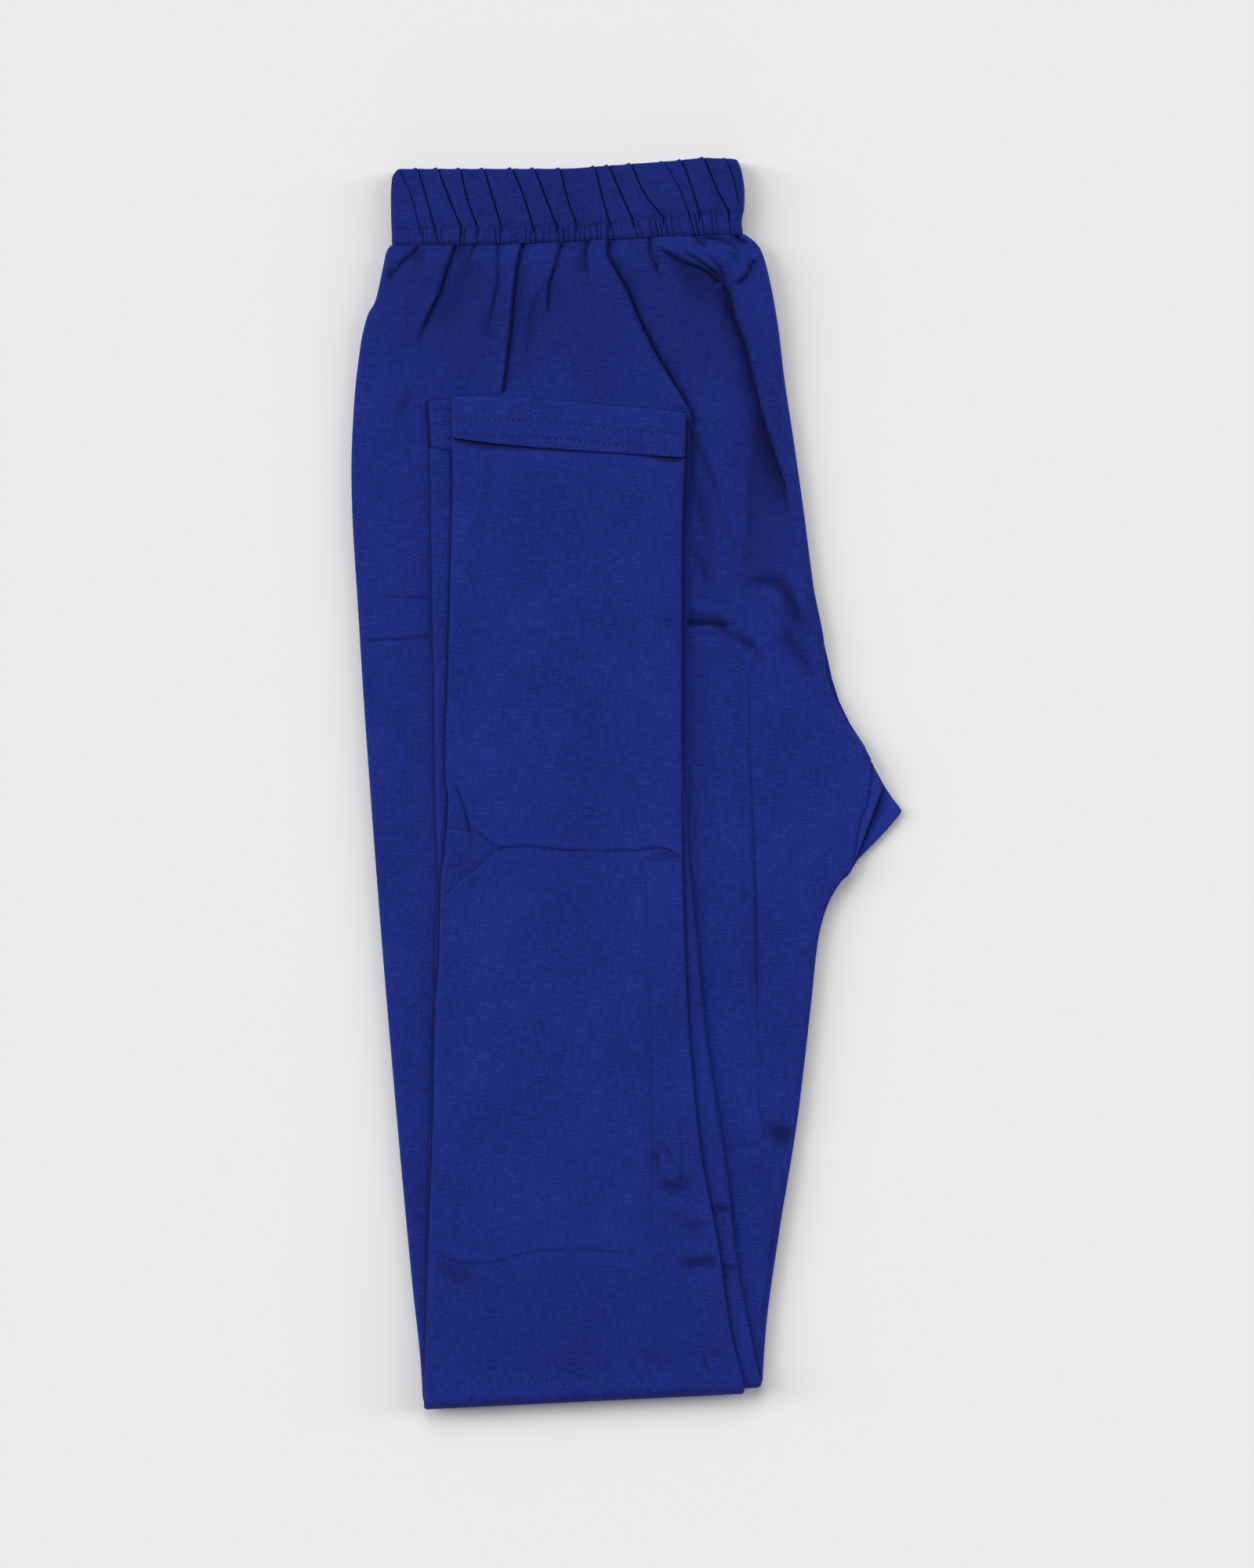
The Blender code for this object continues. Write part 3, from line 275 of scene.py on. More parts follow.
def spreadByBend(height, pitch, count, calm):
    # places from 0 to 1 along each row, closer together where the cloth bends
    bend, reach = bendOf(height, 1, pitch), 4
    for axis, pad in enumerate((((reach, reach), (0, 0)), ((0, 0), (reach, reach)))):
        padded = np.pad(bend, pad, mode="edge")
        bend = np.apply_along_axis(np.convolve, axis, padded, softWindow(reach), "valid")
    weight = calm + bend / max(bend.mean(), 1e-6)
    total = np.cumsum((weight[:, 1:] + weight[:, :-1]) / 2, axis=1)
    total = np.concatenate((np.zeros((len(total), 1)), total), axis=1)
    return np.array([np.interp(even(count), row / row[-1], even(height.shape[1])) for row in total])


def sharesByBend(ends, yOf, heightOf, count, calm, samples=700):
    # shares from 0 to 1 down a leg, closer together where creases run across it
    share = even(samples)
    left, right = ends(share)
    x = left[:, None] + even(120) * (right - left)[:, None]
    y = yOf(x, share[:, None])
    height, dark = heightOf(x, y)
    bend = bendOf(height + 0.5 * dark, 0, abs(y[0].mean() - y[-1].mean()) / (samples - 1))
    bend = np.sort(bend, axis=1)[:, -18:].mean(axis=1)
    bend = np.convolve(np.pad(bend, 5, mode="edge"), softWindow(5), "valid")
    weight = calm + bend / bend.mean()
    total = np.concatenate(([0.0], np.cumsum((weight[1:] + weight[:-1]) / 2)))
    return np.interp(even(count), total / total[-1], share)


# The two legs

crotchY = 7.4
bigFold = [
    (46.2, 218.8), (48.8, 208.3), (53.2, 196.9), (55.8, 186.4), (57.9, 177.6), (61.1, 164.5), (63.7, 155.8),
    (67.2, 145), (71, 133), (73.3, 118), (76.2, 108.5)]
nearLegPiece = {
    "rows": 218, "openColumns": 104, "lowerRows": 56, "radius": layers["nearRadius"],
    # how evenly rows and columns are spread, however the cloth bends
    "calmRows": 1.2, "calmColumns": 0.4,
    "plainSpread": np.concatenate((
        np.linspace(0.0, 0.1, 20), np.linspace(0.18, 0.82, 8), np.linspace(0.9, 1.0, 20))),
    # underside and top of the gathered cloth below the waistband, as y, z
    "underside": [(245, 4.8), (228, 4.4), (205, 3.6), (182, 3.05), (170, 3)],
    "top": [(245, 8.5), (236, 8.9), (222, 8.3), (200, 7), (182, 6), (170, 5.7)],
    # dents in the lower part: x, y, half width across and along, depth, which also sets the shade painted in
    # them
    "lowerDents": [(41, -189.5, 4, 1.8, 0.6), (45.5, -215.5, 4, 1.8, 0.6), (43, -219.5, 2.4, 1.4, 0.6)],
}
# path from the strong end, half width, depth, ridge, its side, fades in and out, width of the step, and gloom:
# how much shade is painted along it
nearLegPiece["creases"] = [
    ([(-93.3, 239.5), (-103, 230), (-110, 221)], 2.2, 1.2, 0.6, -1, 1, 8, 0.5, 1),
    ([(-77.2, 240.5), (-79.3, 234.2), (-81, 229.5), (-84.2, 219.4), (-90, 207.5), (-95.5, 192)],
     1.9, 1.8, 1.1, -1, 1, 18, 0.35, 0.9),
    ([(-67.4, 240), (-70.2, 234), (-75, 226.5)], 2.8, 1, 0.5, 1, 1, 9, 0.9, 1),
    ([(-58.3, 241), (-58, 227), (-61.5, 209), (-65, 196)], 1.9, 0.9, 0.5, -1, 1, 16, 0.6, 0.7),
    ([(-47.1, 241.5), (-48.8, 235.5), (-50.6, 225), (-52.8, 202), (-56.7, 171)],
     1.9, 1.9, 1.1, -1, 1, 2, 0.3, 1),
    ([(-29.7, 241.5), (-31.7, 235), (-33.1, 229.6), (-35.3, 223.7), (-36, 215), (-35.3, 204)],
     1.9, 1.4, 0.8, -1, 1, 12, 0.4, 1),
    ([(-36.1, 225), (-39.7, 219.4), (-43.3, 210.7), (-46.3, 196)], 2.4, 0.5, 0.3, -1, 2, 12, 1, 0.7),
    ([(-15.9, 242.6), (-17.7, 237.3), (-17.9, 230), (-16.2, 224)], 1.8, 1.5, 0.7, 1, 1, 8, 0.35, 1.2),
    ([(-9.3, 242.4), (-9.6, 236), (-6.5, 229.6), (-1, 220.5), (4.5, 207), (12.5, 191), (26.5, 168),
     (28.4, 164.2), (29, 160)], 2.4, 2.2, 1.3, -1, 1, 2, 0.4, 1),
    ([(10.7, 244), (11, 237.3), (13.8, 229.6), (16.5, 222)], 1.9, 1.5, 0.7, 1, 1, 9, 0.35, 1.2),
    ([(14.5, 239.4), (23.6, 233.8), (33.4, 229.8), (38.3, 226.6), (42, 223.5)],
     1.9, 1.5, 0.9, 1, 3, 2, 0.6, 1.1),
    ([(25, 238), (34.8, 231.7), (42, 226)], 1.6, 1.2, 0.6, 1, 4, 3, 0.45, 1.3),
    ([(35, 237), (41.8, 229.6), (44.5, 224)], 1.5, 1, 0.6, 1, 4, 3, 0.45, 1.3),
    ([(44, 238.5), (48, 235), (50, 230)], 1.4, 0.9, 0.5, 1, 3, 3, 0.5, 0.9),
    ([(40, 227), *bigFold], 2.8, 2, 1.3, 1, 3, 30, 1.2, 0.5),
    ([(22.9, 243.3), (27.8, 244.3), (32, 240.8), (36.2, 238.4)], 1.4, 1.2, 0.4, -1, 2, 3, 0.5, 1.2),
    ([(32, 243.8), (41.8, 242.9), (47.4, 238)], 1.4, 1.1, 0.4, 1, 2, 5, 0.5, 1.1),
    ([(48.1, 245.3), (53.7, 240.1)], 1.5, 1.5, 0.6, 1, 1, 3, 0.4, 1.7),
    ([(56.9, 235.2), (55.4, 233.2), (52.3, 226.6), (47.5, 222.2)], 1.7, 1.5, 0.8, -1, 3, 3, 0.4, 1.8),
    ([(62.8, 183), (65, 173.3), (67.6, 164.5), (68.3, 150)], 1.6, 0.6, 0.4, 1, 5, 10, 0.6, 0.9),
    ([(-95, 180), (-101.5, 168.5), (-107.5, 157)], 4.5, 0.6, 0.4, -1, 10, 12, 3, 0.8),
    ([(-113.5, 84), (-100, 83.5), (-87, 84)], 1.5, 0.55, 0.35, 1, 4, 1, 0.5, 1),
    ([(-118.5, 64), (-105, 65), (-87, 66)], 1.5, 0.6, 0.35, 1, 4, 1, 0.4, 1.2),
    ([(25.5, 70.7), (32.4, 70.7), (38.3, 70.2), (46, 69.7)], 1.6, 1, 0.3, -1, 1, 5, 0.4, 1.1),
    ([(75.5, 69), (79.6, 66.8), (85.4, 71.4)], 1.7, 0.8, 0.5, -1, 3, 1, 0.7, 1.1),
    ([(60.6, 62), (57, 56), (54.8, 46), (55.2, 10), (57, -33), (58.5, -105), (59, -140), (62, -158)],
     2, 0.45, 0.3, 1, 5, 12, 0.9, 1.6),
    ([(68, -180), (63.5, -218), (60, -249)], 2.4, 0.8, 0.4, 1, 14, 14, 1, 0.9)]
# path, half width at its start and end, depth, gloom (painted shade, or painted light below 0), fades in and
# out, and its side where it has only one
nearLegPiece["hollows"] = [
    ([(43, 223), *bigFold], 4.2, 10, 0.8, 0.6, 2, 40, 1),
    ([(57, 176), (54.8, 147), (53.5, 130), (52, 112), (50, 92), (49.5, 78)], 13, 9, 0.3, 0.36, 24, 24, -1),
    ([(25.5, 71), (36, 71), (47, 70.3)], 4.4, 3, 0.8, 0.7, 1, 3, -1),
    ([(40, 71.5), (44, 68), (49, 65.5), (57.5, 60)], 2.2, 2.6, 0.6, 0.55, 3, 3),
    ([(50, 64.5), (55, 62.5), (58, 59.5)], 1.6, 1.8, 0.3, 0.25, 2, 3),
    ([(53, 87), (58.3, 90.3), (64.2, 90.8), (69, 88.2), (72.6, 83), (75.4, 76), (77.4, 66)],
     2.2, 4.2, 1, 0.6, 8, 9),
    ([(66, 68), (72.5, 63), (77.9, 56), (83, 48), (88, 40)], 4.4, 3, 1, 0.56, 7, 16),
    ([(67, 52), (76, 44), (84, 34)], 4, 5, 0.3, 0.14, 6, 10),
    ([(41, 60), (47, 58), (52, 52)], 2.4, 2.4, 0.3, 0.2, 4, 5),
    ([(58, 74), (61, 66), (62, 58)], 1.4, 1.8, -0.3, -0.25, 4, 4),
    ([(55, 63), (59.5, 58), (59, 50)], 1.8, 1.8, 0.4, 0.35, 4, 5),
    ([(66, 95), (73, 92), (77.5, 86), (80.5, 74)], 1.6, 2, -0.5, -0.4, 6, 6),
    ([(-72, 240), (-76, 232)], 1.6, 1.8, 0.3, 0.3, 1, 4),
    ([(-38.5, 214), (-43, 200), (-46.5, 178)], 1.2, 2, 0.3, 0.22, 6, 16),
    ([(-90, 238), (-97, 230)], 1.2, 1.6, 0.3, 0.3, 1, 5),
    ([(-24, 241), (-25, 234)], 1.2, 1.4, 0.3, 0.3, 1, 4),
    ([(4, 243), (5.5, 234)], 1.2, 1.6, 0.3, 0.3, 1, 5),
    ([(18, 238), (24, 232), (27, 226)], 1.2, 1.6, 0.3, 0.25, 2, 5),
    ([(36, 222), (43, 214), (46, 204)], 2, 3, 0.4, 0.25, 5, 8),
    ([(63.5, 71), (68, 74), (71, 72)], 1.6, 1.6, -0.3, -0.3, 3, 3),
    ([(27.4, 166), (28.8, 160), (28.8, 148), (28, 116)], 1.2, 2.2, 0.3, 0.5, 2, 30),
    ([(31, 136), (34.5, 112), (38, 90)], 1.8, 2.8, 0.4, 0.4, 12, 10),
    ([(27.5, 108), (33, 98), (38, 84)], 1.6, 2.2, 0.4, 0.44, 6, 8),
    ([(27, 160), (36, 140), (44, 118)], 1.5, 2.8, 0.3, 0.3, 4, 14),
    ([(40, 124), (46, 110), (49, 94)], 1.8, 2.4, 0.3, 0.24, 8, 8),
    ([(38, 152), (45, 130), (52, 108)], 2.6, 3.6, -0.3, -0.22, 10, 12),
    ([(31, 118), (35, 104), (40, 92)], 1.4, 2, -0.3, -0.25, 8, 6),
    ([(29, 84), (36, 82), (44, 78)], 1.8, 2.2, 0.3, 0.3, 2, 6),
    ([(60, 84), (66, 84), (69, 78)], 1.6, 2, -0.3, -0.3, 3, 4),
    ([(28, 79), (34, 80), (42, 76), (50, 71)], 1.8, 1.4, -0.4, -0.4, 2, 5),
    ([(62, 64), (63, 52), (62, 40)], 2.2, 2.2, -0.2, -0.2, 5, 8),
    ([(49.5, 62), (50.5, 20), (52, -40), (54, -100)], 0.8, 0.8, 0.12, 0.2, 5, 50),
    ([(55.2, 46), (55.6, 10), (57.2, -33), (58.7, -105)], 2.2, 2.2, 0.2, 0.2, 10, 24),
    ([(62, 42), (63, 0), (65, -60)], 3.4, 4, -0.2, -0.2, 10, 30),
    ([(34, 60), (35, 20), (37, -30)], 3, 3, 0.15, 0.12, 10, 30),
    ([(-68, 236), (-76, 218), (-88, 192)], 2.5, 5.5, 0.3, 0.2, 8, 16),
    ([(-5, 232), (6, 208), (24, 178)], 2.5, 4, 0.3, 0.2, 8, 10, 1),
    ([(-44, 238), (-46, 224), (-48, 205)], 1.6, 2.6, 0.2, 0.15, 6, 12),
    ([(17, 236), (26, 226), (40, 214)], 2.5, 5, 0.4, 0.25, 5, 8),
    ([(-22, 240), (-21, 230), (-14, 214)], 1.6, 3, 0.3, 0.18, 3, 10),
    ([(-86, 228), (-96, 206), (-104, 182)], 2.2, 5, 0.3, 0.14, 6, 14),
    ([(44, 242), (50, 236), (52, 229)], 1.4, 1.4, 0.3, 0.25, 2, 4),
    ([(61, -152), (67, -156.5), (74, -157.5)], 3, 3.8, 0.9, 0.45, 5, 2),
    ([(38, -163.5), (48, -161.5), (61, -160)], 1.4, 2, 0.3, 0.3, 5, 3),
    ([(48, -170), (56, -174), (68, -172)], 1.6, 2.2, 0.3, 0.2, 6, 4),
    ([(60.5, -136), (61.5, -146), (62.5, -153)], 1.2, 1.6, 0.3, 0.3, 4, 2)]
# x, y, half width across and along, height
nearLegPiece["swells"] = [
    (66, 200, 9, 34, 0.9), (-100, 205, 9, 14, 0.7), (-20, 215, 12, 18, 0.5), (38, 150, 14, 30, 0.6),
    (34, 76, 9, 5, 0.7), (66, 74, 7, 12, 0.5), (68, -159, 6.5, 6, -1), (58, -159, 3.5, 2.5, -0.5),
    (52, -185, 7, 16, 0.4), (40, 20, 9, 40, 0.3), (-104, 30, 7, 50, 0.3), (43, 178, 8, 34, 0.9),
    (66, 84, 5, 7, 0.7), (37, 61, 8, 5, 0.5), (77, 78, 4, 8, 0.5), (58, 118, 6, 20, -0.5)]
# patches of painted shade, as x, y, half width across and along, how dark; below 0 they are painted light
nearLegPiece["shades"] = [
    (-88, 236, 3, 3.5, -0.3), (-72, 235.5, 3, 3.5, -0.25), (-53, 237, 3, 4, -0.3), (-40, 236, 4, 4, -0.25),
    (-24, 238, 2.5, 4, -0.3), (-4, 238, 3, 4, -0.3), (5, 240, 3, 3.5, -0.25), (19, 240, 3, 3, -0.3),
    (-20, 205, 80, 34, 0.22), (40, 150, 12, 50, 0.1), (66, 170, 12, 50, 0.1), (72, 66, 12, 16, 0.1),
    (68, -157, 5, 8, 0.35), (36, 210, 15, 18, 0.2), (-20, 240, 90, 3, 0.18), (62, 218, 6, 16, -0.25),
    (-110, 110, 9, 60, -0.15), (76, 10, 22, 60, -0.25), (62, -126, 13, 22, -0.35), (90, -2, 14, 24, -0.4),
    (-103, 104, 12, 16, -0.3), (58, 20, 8, 30, -0.15), (-60, 212, 30, 20, 0.1), (41, 238, 5, 2.6, -0.4),
    (52, 231, 3.5, 5, -0.4), (36, 234, 3, 2, -0.3), (31, 226, 5, 3, 0.2), (10, 224, 24, 10, 0.1),
    (42, 227, 6, 5, 0.35), (30, 231, 9, 4, 0.2), (48, 243, 9, 2.5, 0.3), (-80, 226, 24, 22, 0.16),
    (66, 112, 14, 24, 0.2), (70, 84, 14, 18, 0.12)]

farLegPiece = {
    "rows": 225, "openColumns": 104, "upperRows": 50, "radius": layers["farRadius"],
    "calmRows": 1.6, "calmColumns": 0.45, "plainSpread": even(20),
    "underside": [(-300, 0), (300, 0)],
    "top": [(245, 4.5), (228, 4.1), (205, 3.3), (182, 2.75), (170, 2.7)],
    # patches of painted shade, as x, y, half width across and along, how dark
    "shades": [(-20, -246, 70, 26, 0.2), (22, -175, 16, 36, 0.1), (-20, 120, 60, 26, 0.05)],
}
farLegPiece["creases"] = [
    ([(-76.4, 0.5), (-73, -9), (-71.2, -15), (-69.5, -22)], 1.5, 0.8, 0.5, 1, 3, 2, 0.45, 1.3),
    ([(-81, -18.5), (-74, -20.5), (-68.6, -21.5)], 1.6, 0.5, 0.3, -1, 3, 2, 0.5, 1.4),
    ([(-69.5, -19.5), (-66, -21.5), (-62, -25), (-57, -28.5)], 1.6, 0.5, 0.3, 1, 2, 3, 0.6, 1),
    ([(-68, -22.5), (-69.4, -26.5), (-71, -30.5)], 1.4, 0.4, 0.2, 1, 2, 3, 0.5, 1.3),
    ([(-57.8, -28.3), (-44.5, -27.3), (-33.7, -28.7), (-22.9, -29.3), (-12, -29.3), (-4, -29.6)],
     1.5, 0.6, 0.5, 1, 1, 18, 0.5, 0.75),
    ([(-12, -29.6), (5.5, -29.3), (12.2, -28), (19, -29.3), (24.4, -33.4)],
     1.5, 0.6, 0.4, 1, 4, 3, 0.45, 0.8),
    ([(-57.8, -29.3), (-66, -36.7), (-74, -42.8), (-83, -51.5)], 2, 0.8, 0.5, 1, 2, 4, 0.6, 1.1),
    ([(-67.5, -33), (-74, -36), (-81.5, -39.5)], 1.6, 0.6, 0.4, 1, 3, 3, 0.5, 1.3),
    ([(-88, -206.5), (-81, -210), (-72.5, -213), (-57, -212), (-45, -208.5), (-33, -207), (3, -208),
     (16, -209)], 1.6, 0.4, 0.25, 1, 3, 30, 0.6, 0.7),
    ([(16.2, -158.5), (19.4, -165), (22.6, -171)], 2, 0.7, 0.5, 1, 3, 5, 0.9, 0.9),
    ([(14, -176), (20, -177.5), (27, -179.5)], 2, 0.7, 0.4, 1, 5, 6, 1.2, 0.5),
    ([(24, -212.5), (30, -212), (39, -210)], 2.4, 0.7, 0.4, 1, 6, 5, 1.2, 0.5),
    ([(25, -196), (29.5, -195), (35, -199)], 1.8, 0.5, 0.4, 1, 3, 4, 0.9, 0.6),
    ([(26, -204), (32, -203), (38, -206)], 1.6, 0.4, 0.3, -1, 3, 4, 0.9, 0.5),
    ([(33.7, -250.7), (35.5, -259), (40.8, -264)], 1.5, 0.6, 0.5, 1, 5, 3, 0.5, 1.1),
    ([(35.5, -262), (38.5, -268), (42, -272)], 1.4, 0.4, 0.3, 1, 2, 3, 0.5, 0.8),
    ([(34.3, -238), (34.8, -247), (36, -256)], 1.5, 0.4, 0.3, 1, 4, 4, 0.8, 0.7),
    ([(5.5, 2), (5.6, -12), (5, -25)], 1.4, 0.3, 0.2, 1, 6, 6, 0.5, 0.8),
    ([(7.8, -33), (8.6, -48), (9, -58), (9.4, -74)], 1.4, 0.35, 0.2, 1, 6, 10, 0.6, 1),
    ([(4, -32), (12, -33.5), (20, -34)], 1.6, 0.4, 0.3, 1, 4, 4, 0.6, 0.9),
    ([(10.5, -80), (11.7, -150), (11, -206)], 2.4, 0.3, 0.2, 1, 30, 20, 1.8, 1.1),
    ([(16, -140), (15, -160), (12.5, -176)], 1.8, 0.4, 0.3, 1, 6, 6, 0.7, 1),
    ([(22, -150), (24, -164), (23, -182)], 1.6, 0.3, 0.3, -1, 4, 6, 0.6, 1)]
farLegPiece["hollows"] = [
    ([(12, -176), (20, -180), (30, -181)], 3, 2.2, 0.6, 0.4, 6, 8),
    ([(20, -173), (25, -176), (30, -183)], 1.6, 2, 0.4, 0.22, 3, 5),
    ([(20, -212), (31, -214), (41, -212)], 3.2, 2.8, 0.6, 0.48, 8, 2),
    ([(27, -192), (33, -195), (38, -199)], 1.2, 1.6, 0.3, 0.28, 3, 3),
    ([(33, -186), (36, -193), (38, -202)], 1.2, 1.4, -0.3, -0.3, 3, 3),
    ([(26, -221), (34, -222), (41, -221)], 2, 2, -0.3, -0.25, 4, 3),
    ([(15, -186), (22, -188), (28, -187)], 1.8, 1.8, -0.3, -0.25, 4, 3),
    ([(22, -190), (28, -197), (35, -203)], 1.8, 2.6, 0.4, 0.22, 4, 5),
    ([(28, -186), (33, -190), (36, -196)], 1.4, 1.4, -0.3, -0.35, 3, 3),
    ([(24, -205), (30, -207), (37, -206)], 1.4, 1.4, -0.3, -0.35, 3, 3),
    ([(12, -163), (14, -170), (15, -176)], 1.6, 1.6, 0.3, 0.3, 3, 3),
    ([(26, -269.5), (34, -268.5), (43, -268.5)], 1.8, 1.6, 0.4, 0.4, 3, 3),
    ([(3, -254), (10, -254.5), (17, -256)], 3, 3, 0.3, 0.16, 4, 5),
    ([(8, -30.5), (16, -31.5), (24, -34.5)], 1.6, 2.2, 0.3, 0.25, 4, 2),
    ([(-86, -214), (-76, -218), (-62, -219)], 5, 4, 0.3, 0.46, 4, 14),
    ([(-60, 148), (-64, 120), (-70, 60)], 3, 5, 0.2, 0.1, 6, 30)]
farLegPiece["swells"] = [
    (-20, 90, 34, 44, 0.45), (-40, -110, 32, 50, 0.4), (18, -185, 7, 12, 0.35), (30, -256, 14, 6, -0.45),
    (-30, -240, 30, 16, 0.3)]


def upperY(x, share):
    return (1 - share) * (softLine(waistSeam, x) - layers["seamGap"]) + share * foldAxis(x)


def endsOf(leftEdge, rightEdge, yOf):
    # x of both edges at each share down the leg
    def ends(share):
        left, right = np.full(len(share), -90.0), np.full(len(share), 50.0)
        for _ in range(8):
            left, right = softLine(leftEdge, yOf(left, share)), rightEdge(yOf(right, share))
        return left, right
    return ends


def nearRight(y):
    return np.where(y >= crotchY, softLine(rise, y), softLine(nearInseam, y))


def farRight(y):
    return np.where(y >= crotchY, softLine(rise, y) + softLine(farRisePeek, y), softLine(farInseam, y))


def lowerY(step):
    def yOf(x, share):
        return (1 - share) * foldAxis(x) + share * (softLine(step, x) - layers["seamGap"])
    return yOf


def rightOfLower(y):
    return np.maximum(softLine(nearLowerRight, y), softLine(farLowerRight, y))


def uncovered(x, y):
    # 1 where the near leg lies open to view, 0 under the lower legs
    left, right = softLine(nearLowerLeft, y), rightOfLower(y)
    under = 1 - ease(y - softLine(farHemTop, x), 0.3, 4.0)
    return 1 - under * ease(x, left - 2.5, left) * (1 - ease(x, right, right + 2.5))


def paintedContactShade(away, width):
    # painted shade near the edge of a layer that lies on this one
    return bump(np.where(away > 0.0, away, 0.7 * away), width)


def nearRelief(x, y):
    height, dark = reliefOf(nearLegPiece, x, y)
    shown = uncovered(x, y) * ease(y - foldAxis(x), 2.0, 16.0)
    # painted shade along the lower legs and the hems that lie on it
    broad = ease(y, 20.0, 120.0)
    sides = 1.15 * paintedContactShade(softLine(nearLowerLeft, y) - x, 0.75 + 0.3 * ease(y, 145.0, 155.0))
    sides += (0.75 - 0.2 * broad) * paintedContactShade(x - rightOfLower(y), 0.6 + 1.5 * broad)
    sides *= 1 - ease(y - softLine(nearHemTop, x), -1.0, 1.0)
    top = paintedContactShade(y - softLine(farHemTop, x), 0.7) * ease(x, -80.0, -78.0) * (1 - ease(x, 25.5, 27.5))
    top += paintedContactShade(y - softLine(nearHemTop, x), 0.7) * ease(x, -90.0, -89.0) * (1 - ease(x, -80.0, -79.0))
    return height * shown, np.maximum(dark * shown, np.minimum(0.85 * sides + 0.75 * top, 0.9))


def lowerDents(x, y):
    # dents in the cloth, with the same amount of shade painted in them
    dents = patches(nearLegPiece["lowerDents"], x, y)
    return -dents, dents


def nearLowerRelief(x, y):
    height, dark = lowerDents(x, y)
    # painted shade beside the far leg's lower part that lies on this one
    dark += 0.9 * paintedContactShade(softLine(farLowerLeft, y) - x, 0.7)
    dark += 0.65 * paintedContactShade(x - softLine(farLowerRight, y), 0.6)
    return height, np.clip(dark, 0.0, 1.0)


def farRelief(x, y):
    height, dark = reliefOf(farLegPiece, x, y)
    shown = ease(y - foldAxis(x), -1.0, 10.0)
    # the cloth dips to the turned hem, most near its ends, and shade is painted under the hem's step
    drop = softLine(farHemStep, x) - layers["seamGap"] - y
    slack = bump(x + 65.0, 15.0) + 0.35 * bump(x + 40.0, 20.0) + bump(x - 18.0, 8.0)
    height = height * shown - (0.3 + 0.8 * slack) * np.exp(-np.maximum(drop, 0.0) / 1.8)
    wide = 0.6 + 2.3 * slack
    return height, np.maximum(dark * shown, 0.85 * (1 - ease(drop, 0.3 * wide, 1.3 * wide)))


def rimShade(x):
    # painted shade along the outer edges of a layer, where they turn away from the light; x has a row for each
    # ring
    left, right = x.min(axis=1, keepdims=True), x.max(axis=1, keepdims=True)
    return 0.75 * bump(x - left, 0.4) + 0.25 * bump(right - x, 0.4)


def section(left, right, spread, openHeight, plainHeight, plainSpread, sewn=0.0, nose=7):
    # one ring of a leg: open side, right edge, plain side, left edge, as x and height
    turn = halfLeg * (1 + 0.9 * sewn)
    low, high = left + halfLeg, right - turn
    openX, plainX = low + spread * (high - low), low + plainSpread * (high - low)
    openSide, plainSide = openHeight(openX), plainHeight(plainX)
    rightEdge, leftEdge = [], []
    for share in even(nose + 2)[-2:0:-1]:
        angle, quarter = radians(180 * share - 90), radians(90 * share)
        middle, half = (openSide[-1] + plainSide[-1]) / 2, (openSide[-1] - plainSide[-1]) / 2
        rounded = np.array((high + (turn if not sewn else halfLeg) * cos(angle), middle + half * sin(angle)))
        seam = np.array((high + turn * cos(quarter), plainSide[-1] + 2 * half * sin(quarter)))
        rightEdge.append((1 - sewn) * rounded + sewn * seam)
        middle, half = (openSide[0] + plainSide[0]) / 2, (openSide[0] - plainSide[0]) / 2
        leftEdge.append((low - halfLeg * cos(angle), middle - half * sin(angle)))
    openRun, plainRun = np.stack((openX, openSide), axis=1), np.stack((plainX, plainSide), axis=1)[::-1]
    return np.concatenate((openRun, rightEdge, plainRun, leftEdge)).T


def inside(x):
    return x * 0.0 + halfLeg


def outside(x):
    return x * 0.0 - halfLeg


# Rings of a leg's upper part, fold and lower part; facing is 1 for the near leg and -1 for the far leg

def upperRings(piece, shares, ends, spreads, relief, facing):
    rings = []
    for share, left, right, spread in zip(shares, *ends(shares), spreads):
        def low(x):
            return softLine(piece["underside"], upperY(x, share))

        def high(x):
            top = softLine(piece["top"], upperY(x, share)) + relief(x, upperY(x, share))[0]
            return np.maximum(top, low(x) + 2.2 * layers["clothWall"])

        sewn = float(ease(upperY(right, share), 6.0, 9.0))
        x, z = section(left, right, spread, *(high, low)[::facing], piece["plainSpread"], sewn)
        rings.append(np.stack((x, upperY(x, share), z), axis=1))
    return rings


def foldRings(piece, ends, lower, spreads, facing):
    rings = []
    before, after = np.array(ends(np.ones(1)))[:, 0], np.array(lower(np.zeros(1)))[:, 0]
    for share in even(layers["foldRows"] + 2)[1:-1]:
        left, right = (1 - share) * before + share * after
        spread = (1 - share) * spreads[0] + share * spreads[1]
        x, height = section(left, right, spread, *(inside, outside)[::facing], piece["plainSpread"])
        reach = piece["radius"] - height
        y = foldAxis(x) - reach * sin(pi * share)
        rings.append(np.stack((x, y, layers["foldCentreZ"] - reach * cos(pi * share)), axis=1))
    return rings


def lowerRings(piece, shares, ends, yOf, spreads, relief, facing):
    rings = []
    for share, left, right, spread in zip(shares, *ends(shares), spreads):
        def shown(x):
            return outside(x) - relief(x, yOf(x, share))[0]

        x, height = section(left, right, spread, *(inside, shown)[::facing], piece["plainSpread"])
        rings.append(np.stack((x, yOf(x, share), layers["foldCentreZ"] + piece["radius"] - height), axis=1))
    return rings


def bendSpreads(shares, ends, yOf, heightOf, count, calm, samples=360):
    left, right = ends(shares)
    wide = (right - left)[:, None]
    x = left[:, None] + even(samples) * wide
    height, dark = heightOf(x, yOf(x, shares[:, None]))
    return spreadByBend(height + 0.9 * dark, wide / (samples - 1), count, calm)


